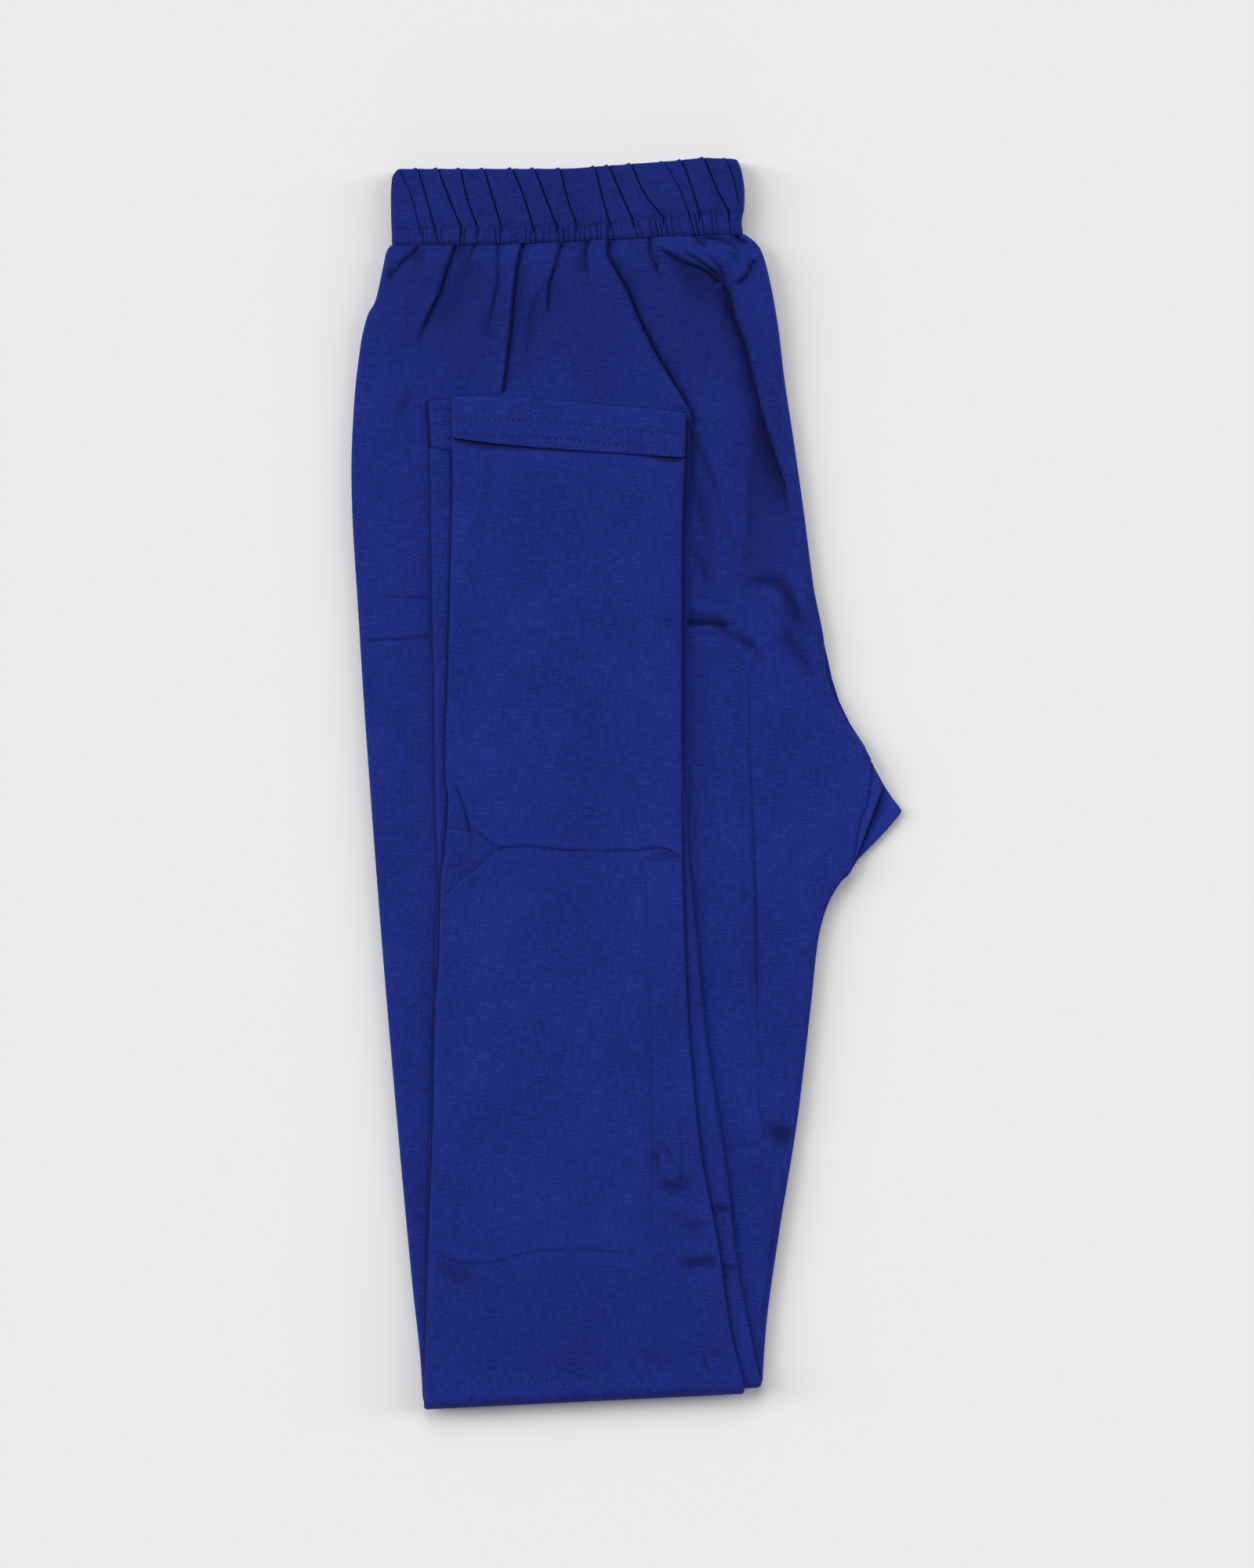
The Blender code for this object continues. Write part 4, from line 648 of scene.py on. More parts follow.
def level(x, y):
    return x * 0.0, x * 0.0


def shadeOf(rings, rows, columns, relief):
    # the shade and light painted on the side that shows
    shade = np.zeros(rings.shape[:2])
    shade[rows, columns] = relief(rings[rows, columns, 0], rings[rows, columns, 1])[1]
    return shade


def nearLeg(material):
    piece, columns = nearLegPiece, nearLegPiece["openColumns"]
    ends = endsOf(sideFold, nearRight, upperY)
    shares = sharesByBend(ends, upperY, nearRelief, piece["rows"], piece["calmRows"])
    spreads = bendSpreads(shares, ends, upperY, nearRelief, columns, piece["calmColumns"])
    yOf = lowerY(nearHemStep)
    lower = endsOf(nearLowerLeft, lambda y: softLine(nearLowerRight, y), yOf)
    lowerShares = sharesByBend(lower, yOf, lowerDents, piece["lowerRows"], piece["calmRows"])
    rings = upperRings(piece, shares, ends, spreads, nearRelief, 1)
    rings += foldRings(piece, ends, lower, (spreads[-1], even(columns)), 1)
    rings += lowerRings(piece, lowerShares, lower, yOf, [even(columns)] * len(lowerShares), nearLowerRelief, 1)
    rings = np.array(rings)
    shade = shadeOf(rings, slice(0, piece["rows"]), slice(0, columns), nearRelief)
    lowerRows = slice(-piece["lowerRows"], None)
    shade += shadeOf(rings, lowerRows, slice(columns, None), nearLowerRelief)
    shade[lowerRows] = np.maximum(shade[lowerRows], rimShade(rings[lowerRows, :, 0]))
    return gridPiece("nearLegCloth", rings, material, shade, layers["clothWall"])


def farLeg(material):
    piece, columns = farLegPiece, farLegPiece["openColumns"]
    ends = endsOf(sideFold, farRight, upperY)
    yOf = lowerY(farHemStep)
    lower = endsOf(farLowerLeft, lambda y: softLine(farLowerRight, y), yOf)
    lowerShares = sharesByBend(lower, yOf, farRelief, piece["rows"], piece["calmRows"])
    spreads = bendSpreads(lowerShares, lower, yOf, farRelief, columns, piece["calmColumns"])
    upperRows = piece["upperRows"]
    rings = upperRings(piece, even(upperRows), ends, [even(columns)] * upperRows, level, -1)
    rings += foldRings(piece, ends, lower, (even(columns), spreads[0]), -1)
    rings += lowerRings(piece, lowerShares, lower, yOf, spreads, farRelief, -1)
    rings = np.array(rings)
    lowerRows = slice(-piece["rows"], None)
    shade = shadeOf(rings, lowerRows, slice(0, columns), farRelief)
    shade[lowerRows] = np.maximum(shade[lowerRows], rimShade(rings[lowerRows, :, 0]))
    return gridPiece("farLegCloth", rings, material, shade, layers["clothWall"])


# The waist casing and the stitched strip under it: four walls, doubled at the side fold

darkest = 0.85  # of the shade painted on the sewn pieces
casing = {
    "wall": 2.1, "step": 2.5, "squash": 0.6, "rows": 30, "plainColumns": 40,
    "left": [(240, -105.2), (262, -105.5), (270, -105), (274, -103)],  # y, x
    "right": [(244.6, 51.8), (251.3, 51.1), (257, 52.2), (263.6, 52.3), (273, 51.1), (279, 49)],
    "gatherColumns": (-2.6, -1.8, -1.15, -0.7, -0.35, -0.12, 0.1, 0.32, 0.6, 1, 1.6, 2.4),
    "thickness": [(0, 0.86), (0.06, 0.93), (0.2, 1), (0.85, 1), (0.96, 0.88), (1, 0.5)],
    "peak": 0.9,
}
# gathers: x at the top, half way down and at the stitching, depth
casing["gathers"] = [
    (-101.5, -96, -92.5, 0.6), (-93.5, -89.5, -86, 1.1), (-84.5, -79.5, -74, 1.3), (-74.5, -71.5, -66.5, 1.1),
    (-64, -60, -56, 1.2), (-51.5, -46, -42, 1.4), (-41.5, -36.5, -31.5, 1.3), (-30, -27, -22.5, 1.1),
    (-14.5, -11.5, -8, 1.2), (-8.5, -3, 2.5, 1.3), (1.5, 7, 16, 1.2), (16, 23, 27.5, 0.6),
    (24, 28.5, 32, 1.1), (34, 39, 45, 1.3), (44, 48, 50, 0.7)]


def straight(x, z, face):
    x = np.asarray(x, float)
    return np.stack((x, x * 0 + z, x * 0, x * 0 + face), axis=1)


def halfTurn(centreX, centreZ, radius, start, end, face, count=7):
    angle = np.radians(np.linspace(start, end, count + 2)[1:-1])
    way = np.stack((np.cos(angle), np.sin(angle)), axis=1)
    return np.hstack(((centreX, centreZ) + radius * way, face * way))


def wallSides(path, half, lift, yOf, squash=1000.0):
    # outer and inner points of a wall about its mid line, which is pressed together where x is past squash
    sides = []
    for offset in (half + lift, -half):
        x, z = path[:, 0] + offset * path[:, 2], path[:, 1] + offset * path[:, 3]
        x = np.minimum(x, squash + (x - squash) * casing["squash"])
        sides.append(np.stack((x, yOf(x), z), axis=1))
    return sides


def walledTube(name, marks, ringAt, material):
    # the outer rings, then the inner ones back again; only the outer ones are shaded
    outer, inner, shade = zip(*[ringAt(mark) for mark in marks])
    shade = np.array(shade + (shade[0] * 0,) * len(inner))
    return gridPiece(name, np.array(outer + inner[::-1]), material, np.minimum(shade, darkest), closed=True)


def waistEnds(piece, lowLine, highLine, up):
    # how thick the wall is there, and where it ends at the side and at the centre seam
    left, right = (float(softLine(casing[side], betweenLines(lowLine, highLine, up, x)))
                   for side, x in (("left", -105), ("right", 52)))
    return float(np.interp(up, *zip(*piece["thickness"]))), left, right


def topEnds(left, right):
    # where the flat stretch of the top wall begins and ends
    half = casing["wall"] / 2
    return left + casing["step"] / 2 + half, right - (1.5 * casing["step"] + half) * casing["squash"]


def fourWalls(left, right, topX):
    half, step, turnPoints = casing["wall"] / 2, casing["step"], 12
    levels = [half + step * wall for wall in range(4)]
    loop, middle = step / 2, (levels[1] + levels[2]) / 2
    leftX, rightX = topEnds(left, right)
    plain = np.linspace(leftX, rightX, casing["plainColumns"])
    path = np.concatenate((
        straight(plain, levels[0], -1), halfTurn(rightX, middle, 1.5 * step, -90, 90, 1, turnPoints),
        straight(topX[::-1], levels[3], 1), halfTurn(leftX, levels[2] + loop, loop, 90, 270, 1),
        straight(plain, levels[2], -1), halfTurn(rightX, middle, loop, 90, -90, -1),
        straight(plain[::-1], levels[1], 1), halfTurn(leftX, levels[0] + loop, loop, 90, 270, 1)))
    index = np.arange(len(path)) - len(plain) - turnPoints
    return path, (index >= 0) & (index < len(topX)), rightX


def gatherX(row, up):
    return softLine([(0.0, row[2]), (0.5, row[1]), (1.0, row[0])], up)


def gatherShape(x, up):
    # each gather is a thin slit with the cloth rolled up on its left; given as lift and slit, and the slit also
    # sets the shade painted in it
    ridge, slit = np.zeros(np.shape(x)), np.zeros(np.shape(x))
    for row in casing["gathers"]:
        offset = x - gatherX(row, up)
        ridge += row[3] * (0.55 * bump(offset + 0.85, 0.95) + 0.12 * bump(offset - 1.7, 1.3))
        slit += row[3] * bump(offset - 0.05, 0.27)
    return ridge, slit


def gatherColumns(left, right, up):
    low, high = topEnds(left, right)
    columns = [low]
    for row in casing["gathers"]:
        spots = [float(gatherX(row, up)) + step for step in casing["gatherColumns"]]
        columns += list(np.linspace(columns[-1], spots[0], 4)[1:-1]) + spots
    columns = np.maximum.accumulate(np.array(columns + [high]))
    # what the last gathers push past the centre seam is laid evenly before it
    keep = columns < high - 0.2
    tail = np.linspace(columns[keep][-1], high, (~keep).sum() + 1)[1:]
    return np.concatenate((columns[keep], tail))


def waistCasing(material):
    def ringAt(up):
        thickness, left, right = waistEnds(casing, casingSeam, casingTop, up)
        path, onTop, centre = fourWalls(left, right, gatherColumns(left, right, up))
        ridge, slit = gatherShape(path[:, 0], up)
        roll, pucker = puckerShape(path[:, 0], 1.0 + 3.5 * up)
        close = 0.5 * (1 - ease(up, 0.0, 0.17))
        ridge, slit = ridge + close * roll, slit + close * pucker
        lift = (ridge - slit) * min(thickness * 1.1, 1.0) - seamStrip["groove"] * bump(up, 0.035)
        peaks = casing["peak"] * up ** 3 * onTop * (ridge - 0.3 * slit)
        sides = wallSides(path, casing["wall"] / 2 * thickness, onTop * lift,
                          lambda x: betweenLines(casingSeam, casingTop, up, x) + peaks, centre)
        # shade painted in the gathers' slits on the top wall
        return *sides, 0.68 * onTop * slit

    return walledTube("waistCasingCloth", even(casing["rows"]) ** 0.9, ringAt, material)


seamStrip = {
    "rows": 14, "depth": 0.5, "groove": 0.22,
    "thickness": [(0, 0.66), (0.2, 0.84), (0.8, 0.86), (1, 0.86)],
    # columns of the mesh beside each pucker and each gather that runs on from the casing
    "puckerColumns": (-1, -0.6, -0.28, -0.1, 0.1, 0.28, 0.6),
    "gatherColumns": (-1.8, -1, -0.45, -0.15, 0.05, 0.3, 0.8),
}
# puckers: x at the upper and the lower stitching, strength
seamStrip["puckers"] = [
    (-97.1, -97.3, 0.4), (-91.2, -91, 0.8), (-89.4, -89.6, 0.5), (-85.4, -84.2, 1), (-83, -82.3, 0.7),
    (-79, -79.2, 0.3), (-74.4, -74.4, 1), (-72.6, -72.8, 0.9), (-67.6, -66.9, 0.8), (-63.2, -63.2, 0.3),
    (-58.8, -58.3, 0.9), (-57.1, -56.6, 1), (-51.4, -51.6, 0.4), (-49.4, -49.3, 0.5), (-45.2, -45, 0.7),
    (-43.3, -42.8, 0.8), (-41.2, -40.9, 1), (-37.2, -37.3, 0.5), (-34.6, -34.4, 0.5), (-31, -30.6, 0.7),
    (-28.7, -28.2, 1), (-26.2, -26.3, 0.6), (-23.4, -23.4, 0.8), (-20.9, -21, 0.7), (-19, -19.1, 0.6),
    (-16.6, -16.4, 0.7), (-13.7, -13.3, 0.9), (-11.9, -11.6, 0.7), (-9.1, -8.6, 1), (-7, -6.1, 0.9),
    (-2.6, -2.2, 0.4), (2.4, 4.9, 1), (4.5, 6.9, 0.8), (9.9, 10.9, 0.9), (12.2, 13.7, 1), (14.4, 15.6, 0.7),
    (16.9, 17.9, 0.9), (19.4, 20.9, 0.7), (23.1, 24.4, 0.5), (27.6, 29.9, 1), (30, 31.9, 0.9),
    (32.9, 34.3, 0.8), (37.4, 38.3, 0.8), (39.3, 40.4, 0.6), (45.2, 46, 0.9)]


def puckerShape(x, up):
    # up is 0 at the seam, 1 at the casing's stitching and more above it
    slit, roll = np.zeros(np.shape(x)), np.zeros(np.shape(x))
    for top, bottom, strength in seamStrip["puckers"]:
        offset = x - bottom - (top - bottom) * up
        # the slit is also the shade painted in each pucker
        slit += strength * bump(offset, 0.26)
        roll += strength * 0.35 * bump(offset + 0.65, 0.5)
    return roll, slit


def stripOfSeam(material):
    def ringAt(up):
        thickness, left, right = waistEnds(seamStrip, waistSeam, casingSeam, up)
        low, high = topEnds(left, right)
        columns = [bottom + (top - bottom) * up + step for top, bottom, _ in seamStrip["puckers"]
                   for step in seamStrip["puckerColumns"]]
        columns += [row[2] + step for row in casing["gathers"] for step in seamStrip["gatherColumns"]]
        columns = np.concatenate(([low], np.clip(sorted(columns), low + 0.1, high - 0.1), [high]))
        path, onTop, centre = fourWalls(left, right, columns)
        roll, slit = puckerShape(path[:, 0], up)
        ridge, line = gatherShape(path[:, 0], 0.0)
        reach = ease(up, 0.35, 1.0)
        lift = seamStrip["depth"] * (roll - slit) + 0.94 * reach * (ridge - line)
        lift -= seamStrip["groove"] * (bump(up - 0.08, 0.12) + bump(up - 1.0, 0.15))
        # painted shade along the gathers that run on from the casing, and a dark line along the lower seam
        slit += 1.1 * reach * line + 0.25 * bump(up, 0.1)
        sides = wallSides(path, casing["wall"] / 2 * thickness, onTop * lift,
                          lambda x: betweenLines(waistSeam, casingSeam, up, x) - 0.02 * up, centre)
        return *sides, 0.8 * onTop * slit

    return walledTube("waistSeamCloth", even(seamStrip["rows"]), ringAt, material)


# The turned hems, as flattened tubes

farHem = {
    "name": "farHemCloth", "base": layers["foldCentreZ"] + layers["farRadius"] - halfLeg,
    "wall": 1.3, "hollow": 0.4, "columns": 150, "step": farHemStep, "top": farHemTop,
    "left": farLowerLeft, "right": farLowerRight, "sewn": (-76.6, 23.6),
    "stitches": [
        [(-82, 155.4), (-35.5, 153.7), (-14.5, 151.8), (2, 149.8), (30, 147.4)],
        [(-82, 162.6), (-35.5, 161.1), (-14.5, 158.9), (2, 156.9), (30, 154.8)]],
    "lines": [],
}
nearHem = {
    "name": "nearHemCloth", "base": layers["foldCentreZ"] + layers["nearRadius"] - halfLeg,
    "wall": 1.15, "hollow": 0.4, "columns": 60, "step": nearHemStep, "top": nearHemTop,
    "left": nearLowerLeft, "right": nearLowerRight, "sewn": (-86.2, -80.5),
    "stitches": [
        [(-92, 159.8), (-81, 160.6), (24, 153.5)], [(-92, 153.2), (-81, 153.8), (24, 149)]],
    "lines": [[(-92, 166), (-81, 166.9), (24, 159.5)]],
}
stitchThread = {"length": 1.7, "width": 0.5, "height": 0.34, "pitch": 2.7, "sunk": 0.2}


def hemTube(piece, material):
    half, loop = piece["wall"] / 2, (piece["wall"] + piece["hollow"]) / 2
    middle = piece["base"] + half + loop
    turnPoints = 7
    onTop = slice(piece["columns"] + turnPoints, 2 * piece["columns"] + turnPoints)

    def ringAt(up):
        def height(x):
            return betweenLines(piece["step"], piece["top"], up, x)

        low = float(softLine(piece["left"], height(-80.0))) + loop + half
        high = float(softLine(piece["right"], height(25.0))) - loop - half
        topX = np.linspace(low, high, piece["columns"])
        path = np.concatenate((
            straight(topX, middle - loop, -1), halfTurn(high, middle, loop, -90, 90, 1, turnPoints),
            straight(topX[::-1], middle + loop, 1), halfTurn(low, middle, loop, 90, 270, 1, turnPoints)))
        # painted shade along the hem's outer edges
        lift, dark, x = np.zeros(len(path)), rimShade(path[None, :, 0])[0], path[onTop, 0]
        for number, row in enumerate(piece["stitches"]):
            away = height(x) - softLine(row, x)
            pull = 0.65 + 0.35 * np.cos(2 * pi * x / stitchThread["pitch"] + number)
            lift[onTop] -= 0.3 * pull * bump(away, 0.75)
            # painted shade along each stitch row
            dark[onTop] += 0.45 * bump(away, 0.55)
        for row in piece["lines"]:
            # a dark line painted across the hem
            dark[onTop] += 0.4 * bump(height(x) - softLine(row, x), 0.5)
        thickness = float(np.interp(up, (0.0, 0.05, 0.95, 1.0), (0.62, 1.0, 1.0, 0.5)))
        return *wallSides(path, half * thickness, lift, height), dark

    marks = np.concatenate((np.linspace(0.0, 0.12, 5), np.linspace(0.16, 0.93, 34), (0.96, 0.985, 1.0)))
    return walledTube(piece["name"], marks, ringAt, material)


# The gusset at the crotch, folded over

gusset = {
    "low": 2.9, "high": 5.5, "rows": 54, "ends": (9.4, -39.5),
    # edge of the upper half and of the lower half, as y, x
    "crease": [
        (9.4, 109.4), (7.4, 109.9), (5.6, 110.6), (2.6, 112), (-1.4, 114.3), (-6.5, 112.3), (-10, 110.9),
        (-12, 110.1), (-14.5, 109.2), (-20, 107.1), (-26, 104.9), (-31, 103), (-36, 101), (-39.5, 99.4)],
    "outer": [
        (9.4, 109.6), (7.4, 110.3), (5.6, 111.4), (2.6, 113), (-1.4, 115.2), (-6.5, 118.6), (-10, 121.4),
        (-12, 122.7), (-14.5, 121), (-20, 116.4), (-26, 110.8), (-31, 105.8), (-34, 102.9), (-37, 101),
        (-39.5, 99.7)],
    # how dark each point of a ring is painted: painted light below 0, painted shade along the crease, and a
    # dark line at the seam
    "shade": [0] * 8 + [-1, -1, 0.7, 0.8, 0.5, 0, -0.8, -1, -0.9, -0.5, 0.6],
}


def gussetDiamond(material):
    rings = []
    low, high = gusset["low"], gusset["high"]
    for y in np.linspace(*gusset["ends"], gusset["rows"]):
        crease, outer = (float(np.interp(y, *zip(*sorted(gusset[line])))) for line in ("crease", "outer"))
        inseam = softLine(rise if y >= crotchY else nearInseam, y)
        seam = min(float(inseam) + layers["seamGap"], crease - 0.05)
        nose, lip = min(0.9, 0.4 * (outer - seam)), min(0.9, 0.4 * (crease - seam))
        ring = [(seam, 0.0), ((seam + outer) / 2, 0.0), (outer - nose, 0.0)]
        ring += [(outer - nose + nose * cos(a), low / 2 + low / 2 * sin(a))
                 for a in np.radians((-65, -35, 0, 35, 65))]
        ring += [(outer - nose, low), ((outer + crease) / 2, low + 0.06), (crease + 0.12, low),
                 (crease, low + 0.35), (crease, low + 1.1), (crease - 0.1 * lip, high - 0.8),
                 (crease - 0.35 * lip, high - 0.25), (crease - lip, high), ((crease + seam) / 2, high + 0.05),
                 (seam + min(0.6, 0.2 * (crease - seam)), high), (seam, high)]
        rings.append([(x, y, z) for x, z in ring])
    # both ends are drawn to a closed edge
    rings = np.array(rings[:1] + rings + rings[-1:])
    for end in (0, -1):
        middle = rings[end].mean(axis=0)
        rings[end] = middle + (rings[end] - middle) * (0.5, 1.0, 0.02)
    return gridPiece("gussetCloth", rings, material, np.tile(np.array(gusset["shade"], float), (len(rings), 1)))


# Stitching: one thread, modelled once and copied along each row

waistSewing = {
    "reach": (-102.5, 47.5), "pitch": 1.5, "shorter": 0.5, "level": 3 * casing["step"] + 0.91 * casing["wall"],
    "rows": [(casingSeam, 0.0, -0.3), (waistSeam, -0.05, 0.9)],  # line, how far above the level and the line
}


def threadMesh():
    bpy.ops.object.select_all(action="DESELECT")
    bpy.ops.mesh.primitive_uv_sphere_add(segments=6, ring_count=5, radius=0.5)
    thread = bpy.context.object
    bpy.ops.object.mode_set(mode="EDIT")
    bpy.ops.mesh.select_all(action="SELECT")
    bpy.ops.transform.rotate(value=pi / 2, orient_axis="Y", center_override=(0, 0, 0))
    bpy.ops.object.mode_set(mode="OBJECT")
    length, width, height = (stitchThread[size] * mm for size in ("length", "width", "height"))
    for vertex in thread.data.vertices:
        x, y, z = vertex.co
        vertex.co = (x * length, y * width, (z - 2 * x ** 2) * height)
    return thread


def stitchRow(name, thread, places, material, shorter=1.0):
    bpy.ops.object.select_all(action="DESELECT")
    for x, y, z, angle in places:
        copy = thread.copy()
        copy.data = thread.data.copy()
        copy.location = (x * mm, y * mm, z * mm)
        copy.rotation_euler = (0.0, 0.0, angle)
        copy.scale = (shorter, 1.0, 1.0)
        bpy.context.collection.objects.link(copy)
        copy.select_set(True)
    bpy.context.view_layer.objects.active = copy
    bpy.ops.object.join()
    bpy.ops.object.transform_apply(location=True, rotation=True, scale=True)
    bpy.ops.object.shade_smooth()
    return named(bpy.context.object, name, material)


def alongLine(pairs, fromX, toX, z, pitch, up=0.0):
    x = np.arange(fromX, toX, pitch)
    y = softLine(pairs, x) + up
    ahead = softLine(pairs, x + 0.5) + up
    return [(a, b, z, np.arctan2(c - b, 0.5)) for a, b, c in zip(x, y, ahead)]


def hemStitches(name, hem):
    topZ = hem["base"] + 2 * hem["wall"] + hem["hollow"] - stitchThread["sunk"]
    spots = [spot for line in hem["stitches"]
             for spot in alongLine(line, *hem["sewn"], topZ, stitchThread["pitch"])]
    return stitchRow(name, thread, spots, sewingThread)


def waistSeamStitches(name):
    level, pitch = waistSewing["level"], waistSewing["pitch"]
    spots = [spot for line, over, up in waistSewing["rows"]
             for spot in alongLine(line, *waistSewing["reach"], level + over, pitch, up)]
    return stitchRow(name, thread, spots, paintedShadeThread, waistSewing["shorter"])


# Materials

class Socket:
    def __init__(self, nodes, output):
        self.nodes, self.output = nodes, output

    def maths(self, operation, other):
        return self.nodes.add("ShaderNodeMath", {"operation": operation}, self, other)

    def __add__(self, other):
        return self.maths("ADD", other)

    def __sub__(self, other):
        return self.maths("SUBTRACT", other)

    def __mul__(self, other):
        return self.maths("MULTIPLY", other)

    __radd__, __rmul__ = __add__, __mul__


class Nodes:
    def __init__(self, name):
        self.material = bpy.data.materials.new(name)
        self.material.use_nodes = True
        self.tree = self.material.node_tree

    def add(self, kind, settings, *values, output=0, **named):
        node = self.tree.nodes.new(kind)
        for key, value in settings.items():
            setattr(node, key, value)
        self.fill(node, dict(enumerate(values)) | named)
        return Socket(self, node.outputs[output])

    def fill(self, node, values):
        for key, value in values.items():
            entry = node.inputs[key.replace("_", " ") if isinstance(key, str) else key]
            if isinstance(value, Socket):
                self.tree.links.new(value.output, entry)
            else:
                entry.default_value = value

    def blend(self, factor, first, second):
        node = self.tree.nodes.new("ShaderNodeMix")
        node.data_type = "RGBA"
        self.fill(node, {0: factor, 6: first, 7: second})
        return Socket(self, node.outputs[2])

    def bump(self, strength, distance, height):
        return self.add("ShaderNodeBump", {}, Strength=strength, Distance=distance, Height=height)

    def finish(self, **values):
        self.fill(self.tree.nodes["Principled BSDF"], values)
        return self.material


# the knit's yarns: scale across and along the leg, detail, share of the tone and of the relief
weave = {
    "slub": (420.0, 2300.0, 2.0, 1.8, 0.6),  # short thin yarn runs across the leg
    "rows": (120.0, 1200.0, 2.0, 1.1, 0.3),
    "wales": (1300.0, 110.0, 2.0, 0.9, 0.4),
    "blotches": (26.0, 18.0, 3.0, 0.7, 0.0),
}
# dark and light are the knit's own tones; shadow is the colour that painted shade blends towards
jersey = {
    "dark": (0.0048, 0.0116, 0.121, 1.0), "light": (0.0135, 0.0306, 0.262, 1.0),
    "shadow": (0.0019, 0.0034, 0.042, 1.0), "roughness": 0.82,
}
bandJersey = {
    "dark": (0.0038, 0.0092, 0.096, 1.0), "light": (0.0105, 0.0238, 0.214, 1.0),
    "shadow": (0.0015, 0.0027, 0.033, 1.0), "roughness": 0.82,
}


def knit(name, finish):
    nodes = Nodes(name)
    spot = nodes.add("ShaderNodeUVMap", {"uv_map": "clothMap"})
    # the hollow attribute is painted light and shade: below 0 the colour is painted lighter, above 0 it is
    # blended towards the painted shadow colour
    hollow = nodes.add("ShaderNodeAttribute", {"attribute_name": "hollow"}, output=2)
    tone, relief, yarns = (-0.45) * hollow.maths("MINIMUM", 0.0) - 1.79, 0.0, {}
    for yarn, (across, along, detail, toneShare, reliefShare) in weave.items():
        scaled = nodes.add("ShaderNodeMapping", {}, Vector=spot, Scale=(across, along, 1.0))
        noise = nodes.add("ShaderNodeTexNoise", {}, Vector=scaled, Scale=1.0, Detail=detail, Roughness=0.55)
        tone, yarns[yarn] = toneShare * noise + tone, noise
        if reliefShare:
            relief = reliefShare * noise + relief
    colour = nodes.blend(tone, finish["dark"], finish["light"])
    return nodes.finish(
        Base_Color=nodes.blend(hollow, colour, finish["shadow"]),
        Roughness=finish["roughness"] + 0.12 * (yarns["slub"] - 0.5), Normal=nodes.bump(0.35, 0.00012, relief),
        Specular_IOR_Level=0.1, Sheen_Weight=0.05, Sheen_Roughness=0.45, Sheen_Tint=(0.35, 0.45, 1.0, 1.0))


def threadFinish(name, dark, light):
    nodes = Nodes(name)
    spot = nodes.add("ShaderNodeTexCoord", {}, output=3)
    fibre = nodes.add("ShaderNodeTexNoise", {}, Vector=spot, Scale=2600.0, Detail=2.0)
    return nodes.finish(Base_Color=nodes.blend(fibre, dark, light), Roughness=0.6 + 0.2 * fibre,
                        Normal=nodes.bump(0.4, 0.00005, fibre), Specular_IOR_Level=0.3)


# The studio, straight above

studio = {
    "floor": (0.80, 0.80, 0.80, 1.0), "sky": 0.155, "power": 0.998,
    # each softbox: where it stands (degrees round, degrees up), how wide it looks, its share of the light
    "softboxes": [(160, 36, 36, 0.30), (20, 36, 36, 0.17), (95, 42, 44, 0.28), (170, 17, 16, 0.07),
                  (10, 17, 16, 0.05), (270, 16, 24, 0.025)],
    "lens": 110.0, "frame": 0.700, "focusZ": 0.004, "centre": (-0.0002, 0.0),
}


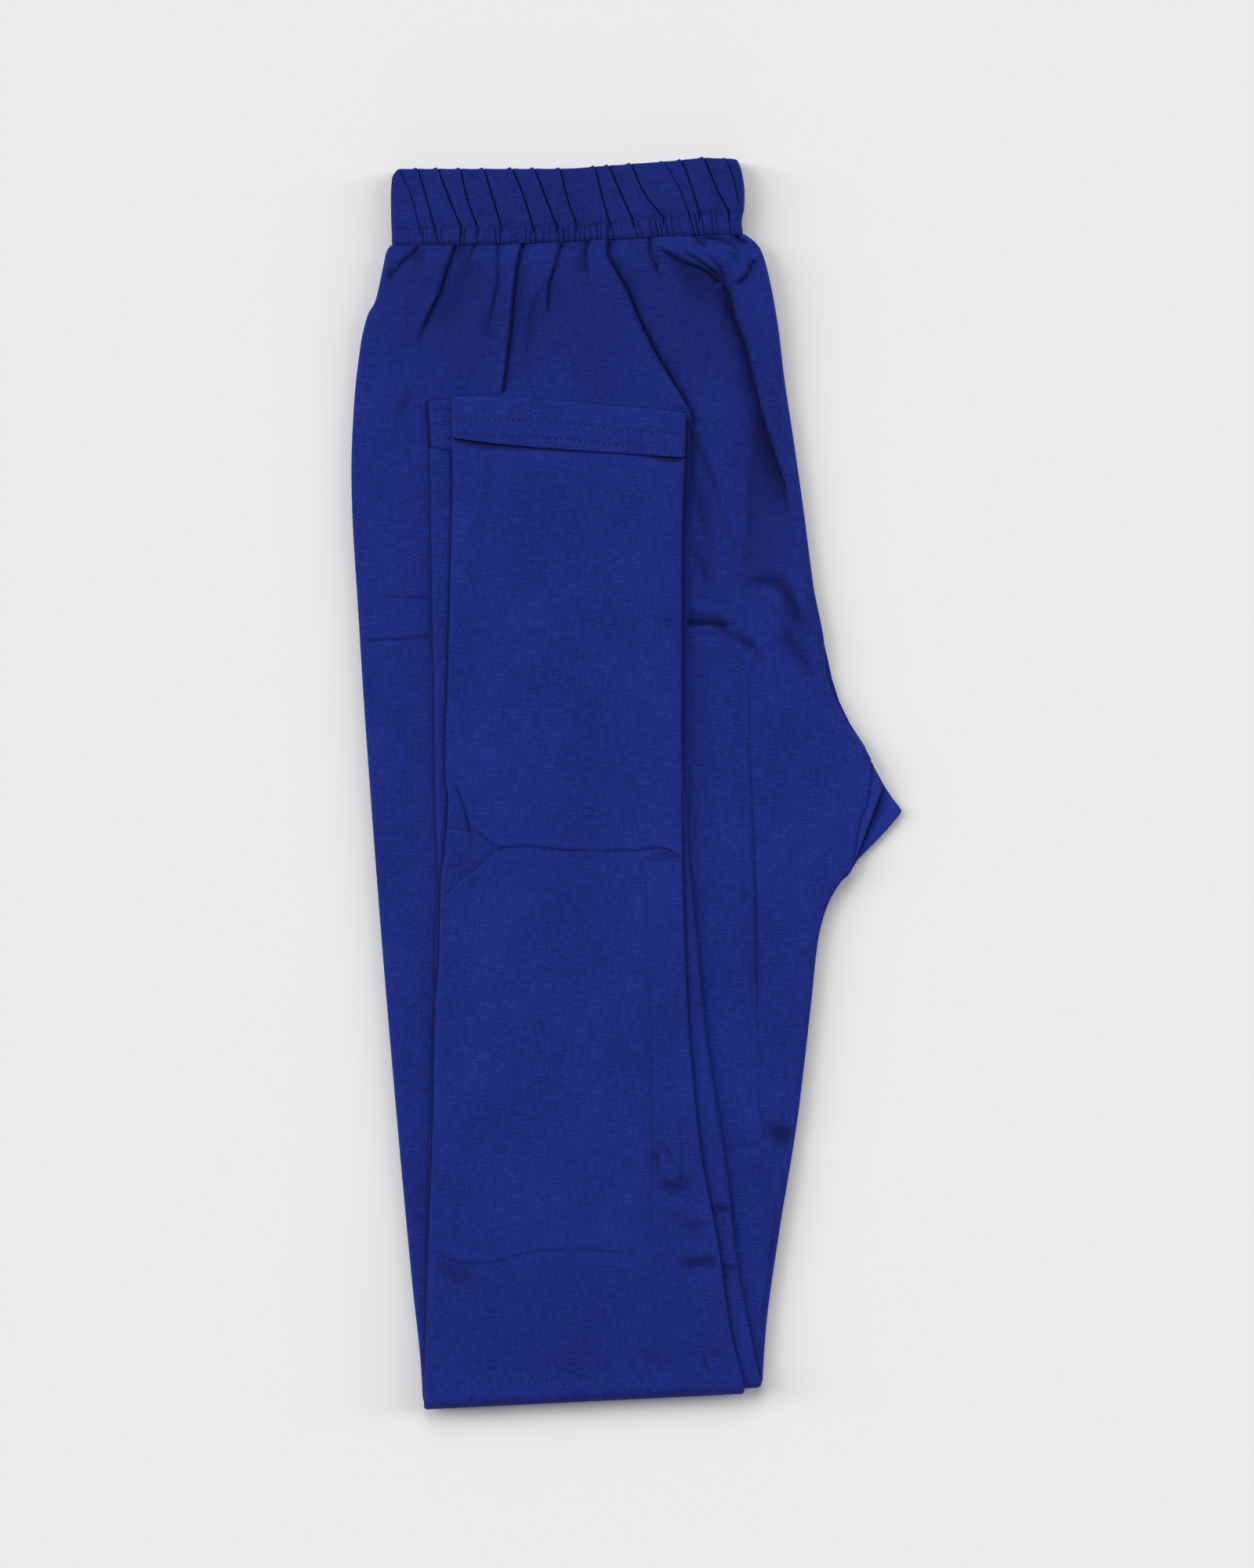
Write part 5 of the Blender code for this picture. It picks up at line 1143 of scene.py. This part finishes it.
def lightAndCamera():
    bpy.ops.object.select_all(action="DESELECT")
    bpy.ops.mesh.primitive_plane_add(size=8.0, location=(0.0, 0.0, -0.0004))
    floor = bpy.context.object
    floor.name = "floor"
    floor.data.materials.append(Nodes("paleFloor").finish(
        Base_Color=studio["floor"], Roughness=0.95, Specular_IOR_Level=0.0))

    world = bpy.data.worlds.new("studioSky")
    bpy.context.scene.world = world
    world.use_nodes = True
    sky = world.node_tree.nodes["Background"].inputs
    sky["Color"].default_value, sky["Strength"].default_value = (1.0, 1.0, 1.0, 1.0), studio["sky"]

    for turned, raised, wide, share in studio["softboxes"]:
        bpy.ops.object.light_add(type="SUN")
        box = bpy.context.object
        box.data.energy = studio["power"] * pi * share / sin(radians(raised))
        box.data.angle = radians(wide)
        box.rotation_euler = (0.0, radians(90 - raised), radians(turned))

    bpy.ops.object.camera_add()
    camera = bpy.context.object
    camera.data.lens = studio["lens"]
    camera.data.sensor_width = 36.0
    distance = studio["frame"] * studio["lens"] / camera.data.sensor_width
    camera.location = (*studio["centre"], distance + studio["focusZ"])
    bpy.context.scene.camera = camera
    bpy.context.scene.view_settings.view_transform = "Standard"
    bpy.context.scene.view_settings.look = "None"


def place(piece, slotName, *replaced):
    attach(piece, "root")
    if replaced:
        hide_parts(*replaced)
    return piece


clothBlue = knit("royalJersey", jersey)
clothBand = knit("gatheredJersey", bandJersey)
sewingThread = threadFinish("sewingThread", (0.014, 0.027, 0.19, 1.0), (0.034, 0.060, 0.38, 1.0))
# the waist stitches are coloured nearly as dark as the painted shadow, for the shade in their stitch holes
paintedShadeThread = threadFinish("paintedShadeThread", (0.0015, 0.003, 0.028, 1.0), (0.004, 0.008, 0.07, 1.0))
print("materials ready")

lightAndCamera()
print("studio ready")

nearCloth = place(nearLeg(clothBlue), "near_leg", "near_leg")
print("near leg ready", len(nearCloth.data.polygons))
farCloth = place(farLeg(clothBlue), "far_leg", "far_leg")
print("far leg ready", len(farCloth.data.polygons))
bandCloth = place(waistCasing(clothBand), "waistband", "waistband")
stripCloth = place(stripOfSeam(clothBand), "waist_seam_band", "waist_seam_band")
print("waist ready", len(bandCloth.data.polygons), len(stripCloth.data.polygons))
farHemCloth = place(hemTube(farHem, clothBlue), "far_leg_hem", "far_leg_hem")
nearHemCloth = place(hemTube(nearHem, clothBlue), "near_leg_hem", "near_leg_hem")
gussetCloth = place(gussetDiamond(clothBlue), "crotch_gusset", "crotch_gusset")
print("hems and gusset ready")

thread = threadMesh()
farStitches = place(hemStitches("farHemStitches", farHem), "far_leg_hem")
nearStitches = place(hemStitches("nearHemStitches", nearHem), "near_leg_hem")
waistStitches = place(waistSeamStitches("waistStitches"), "waist_seam_band")
bpy.data.objects.remove(thread)
print("stitching ready")
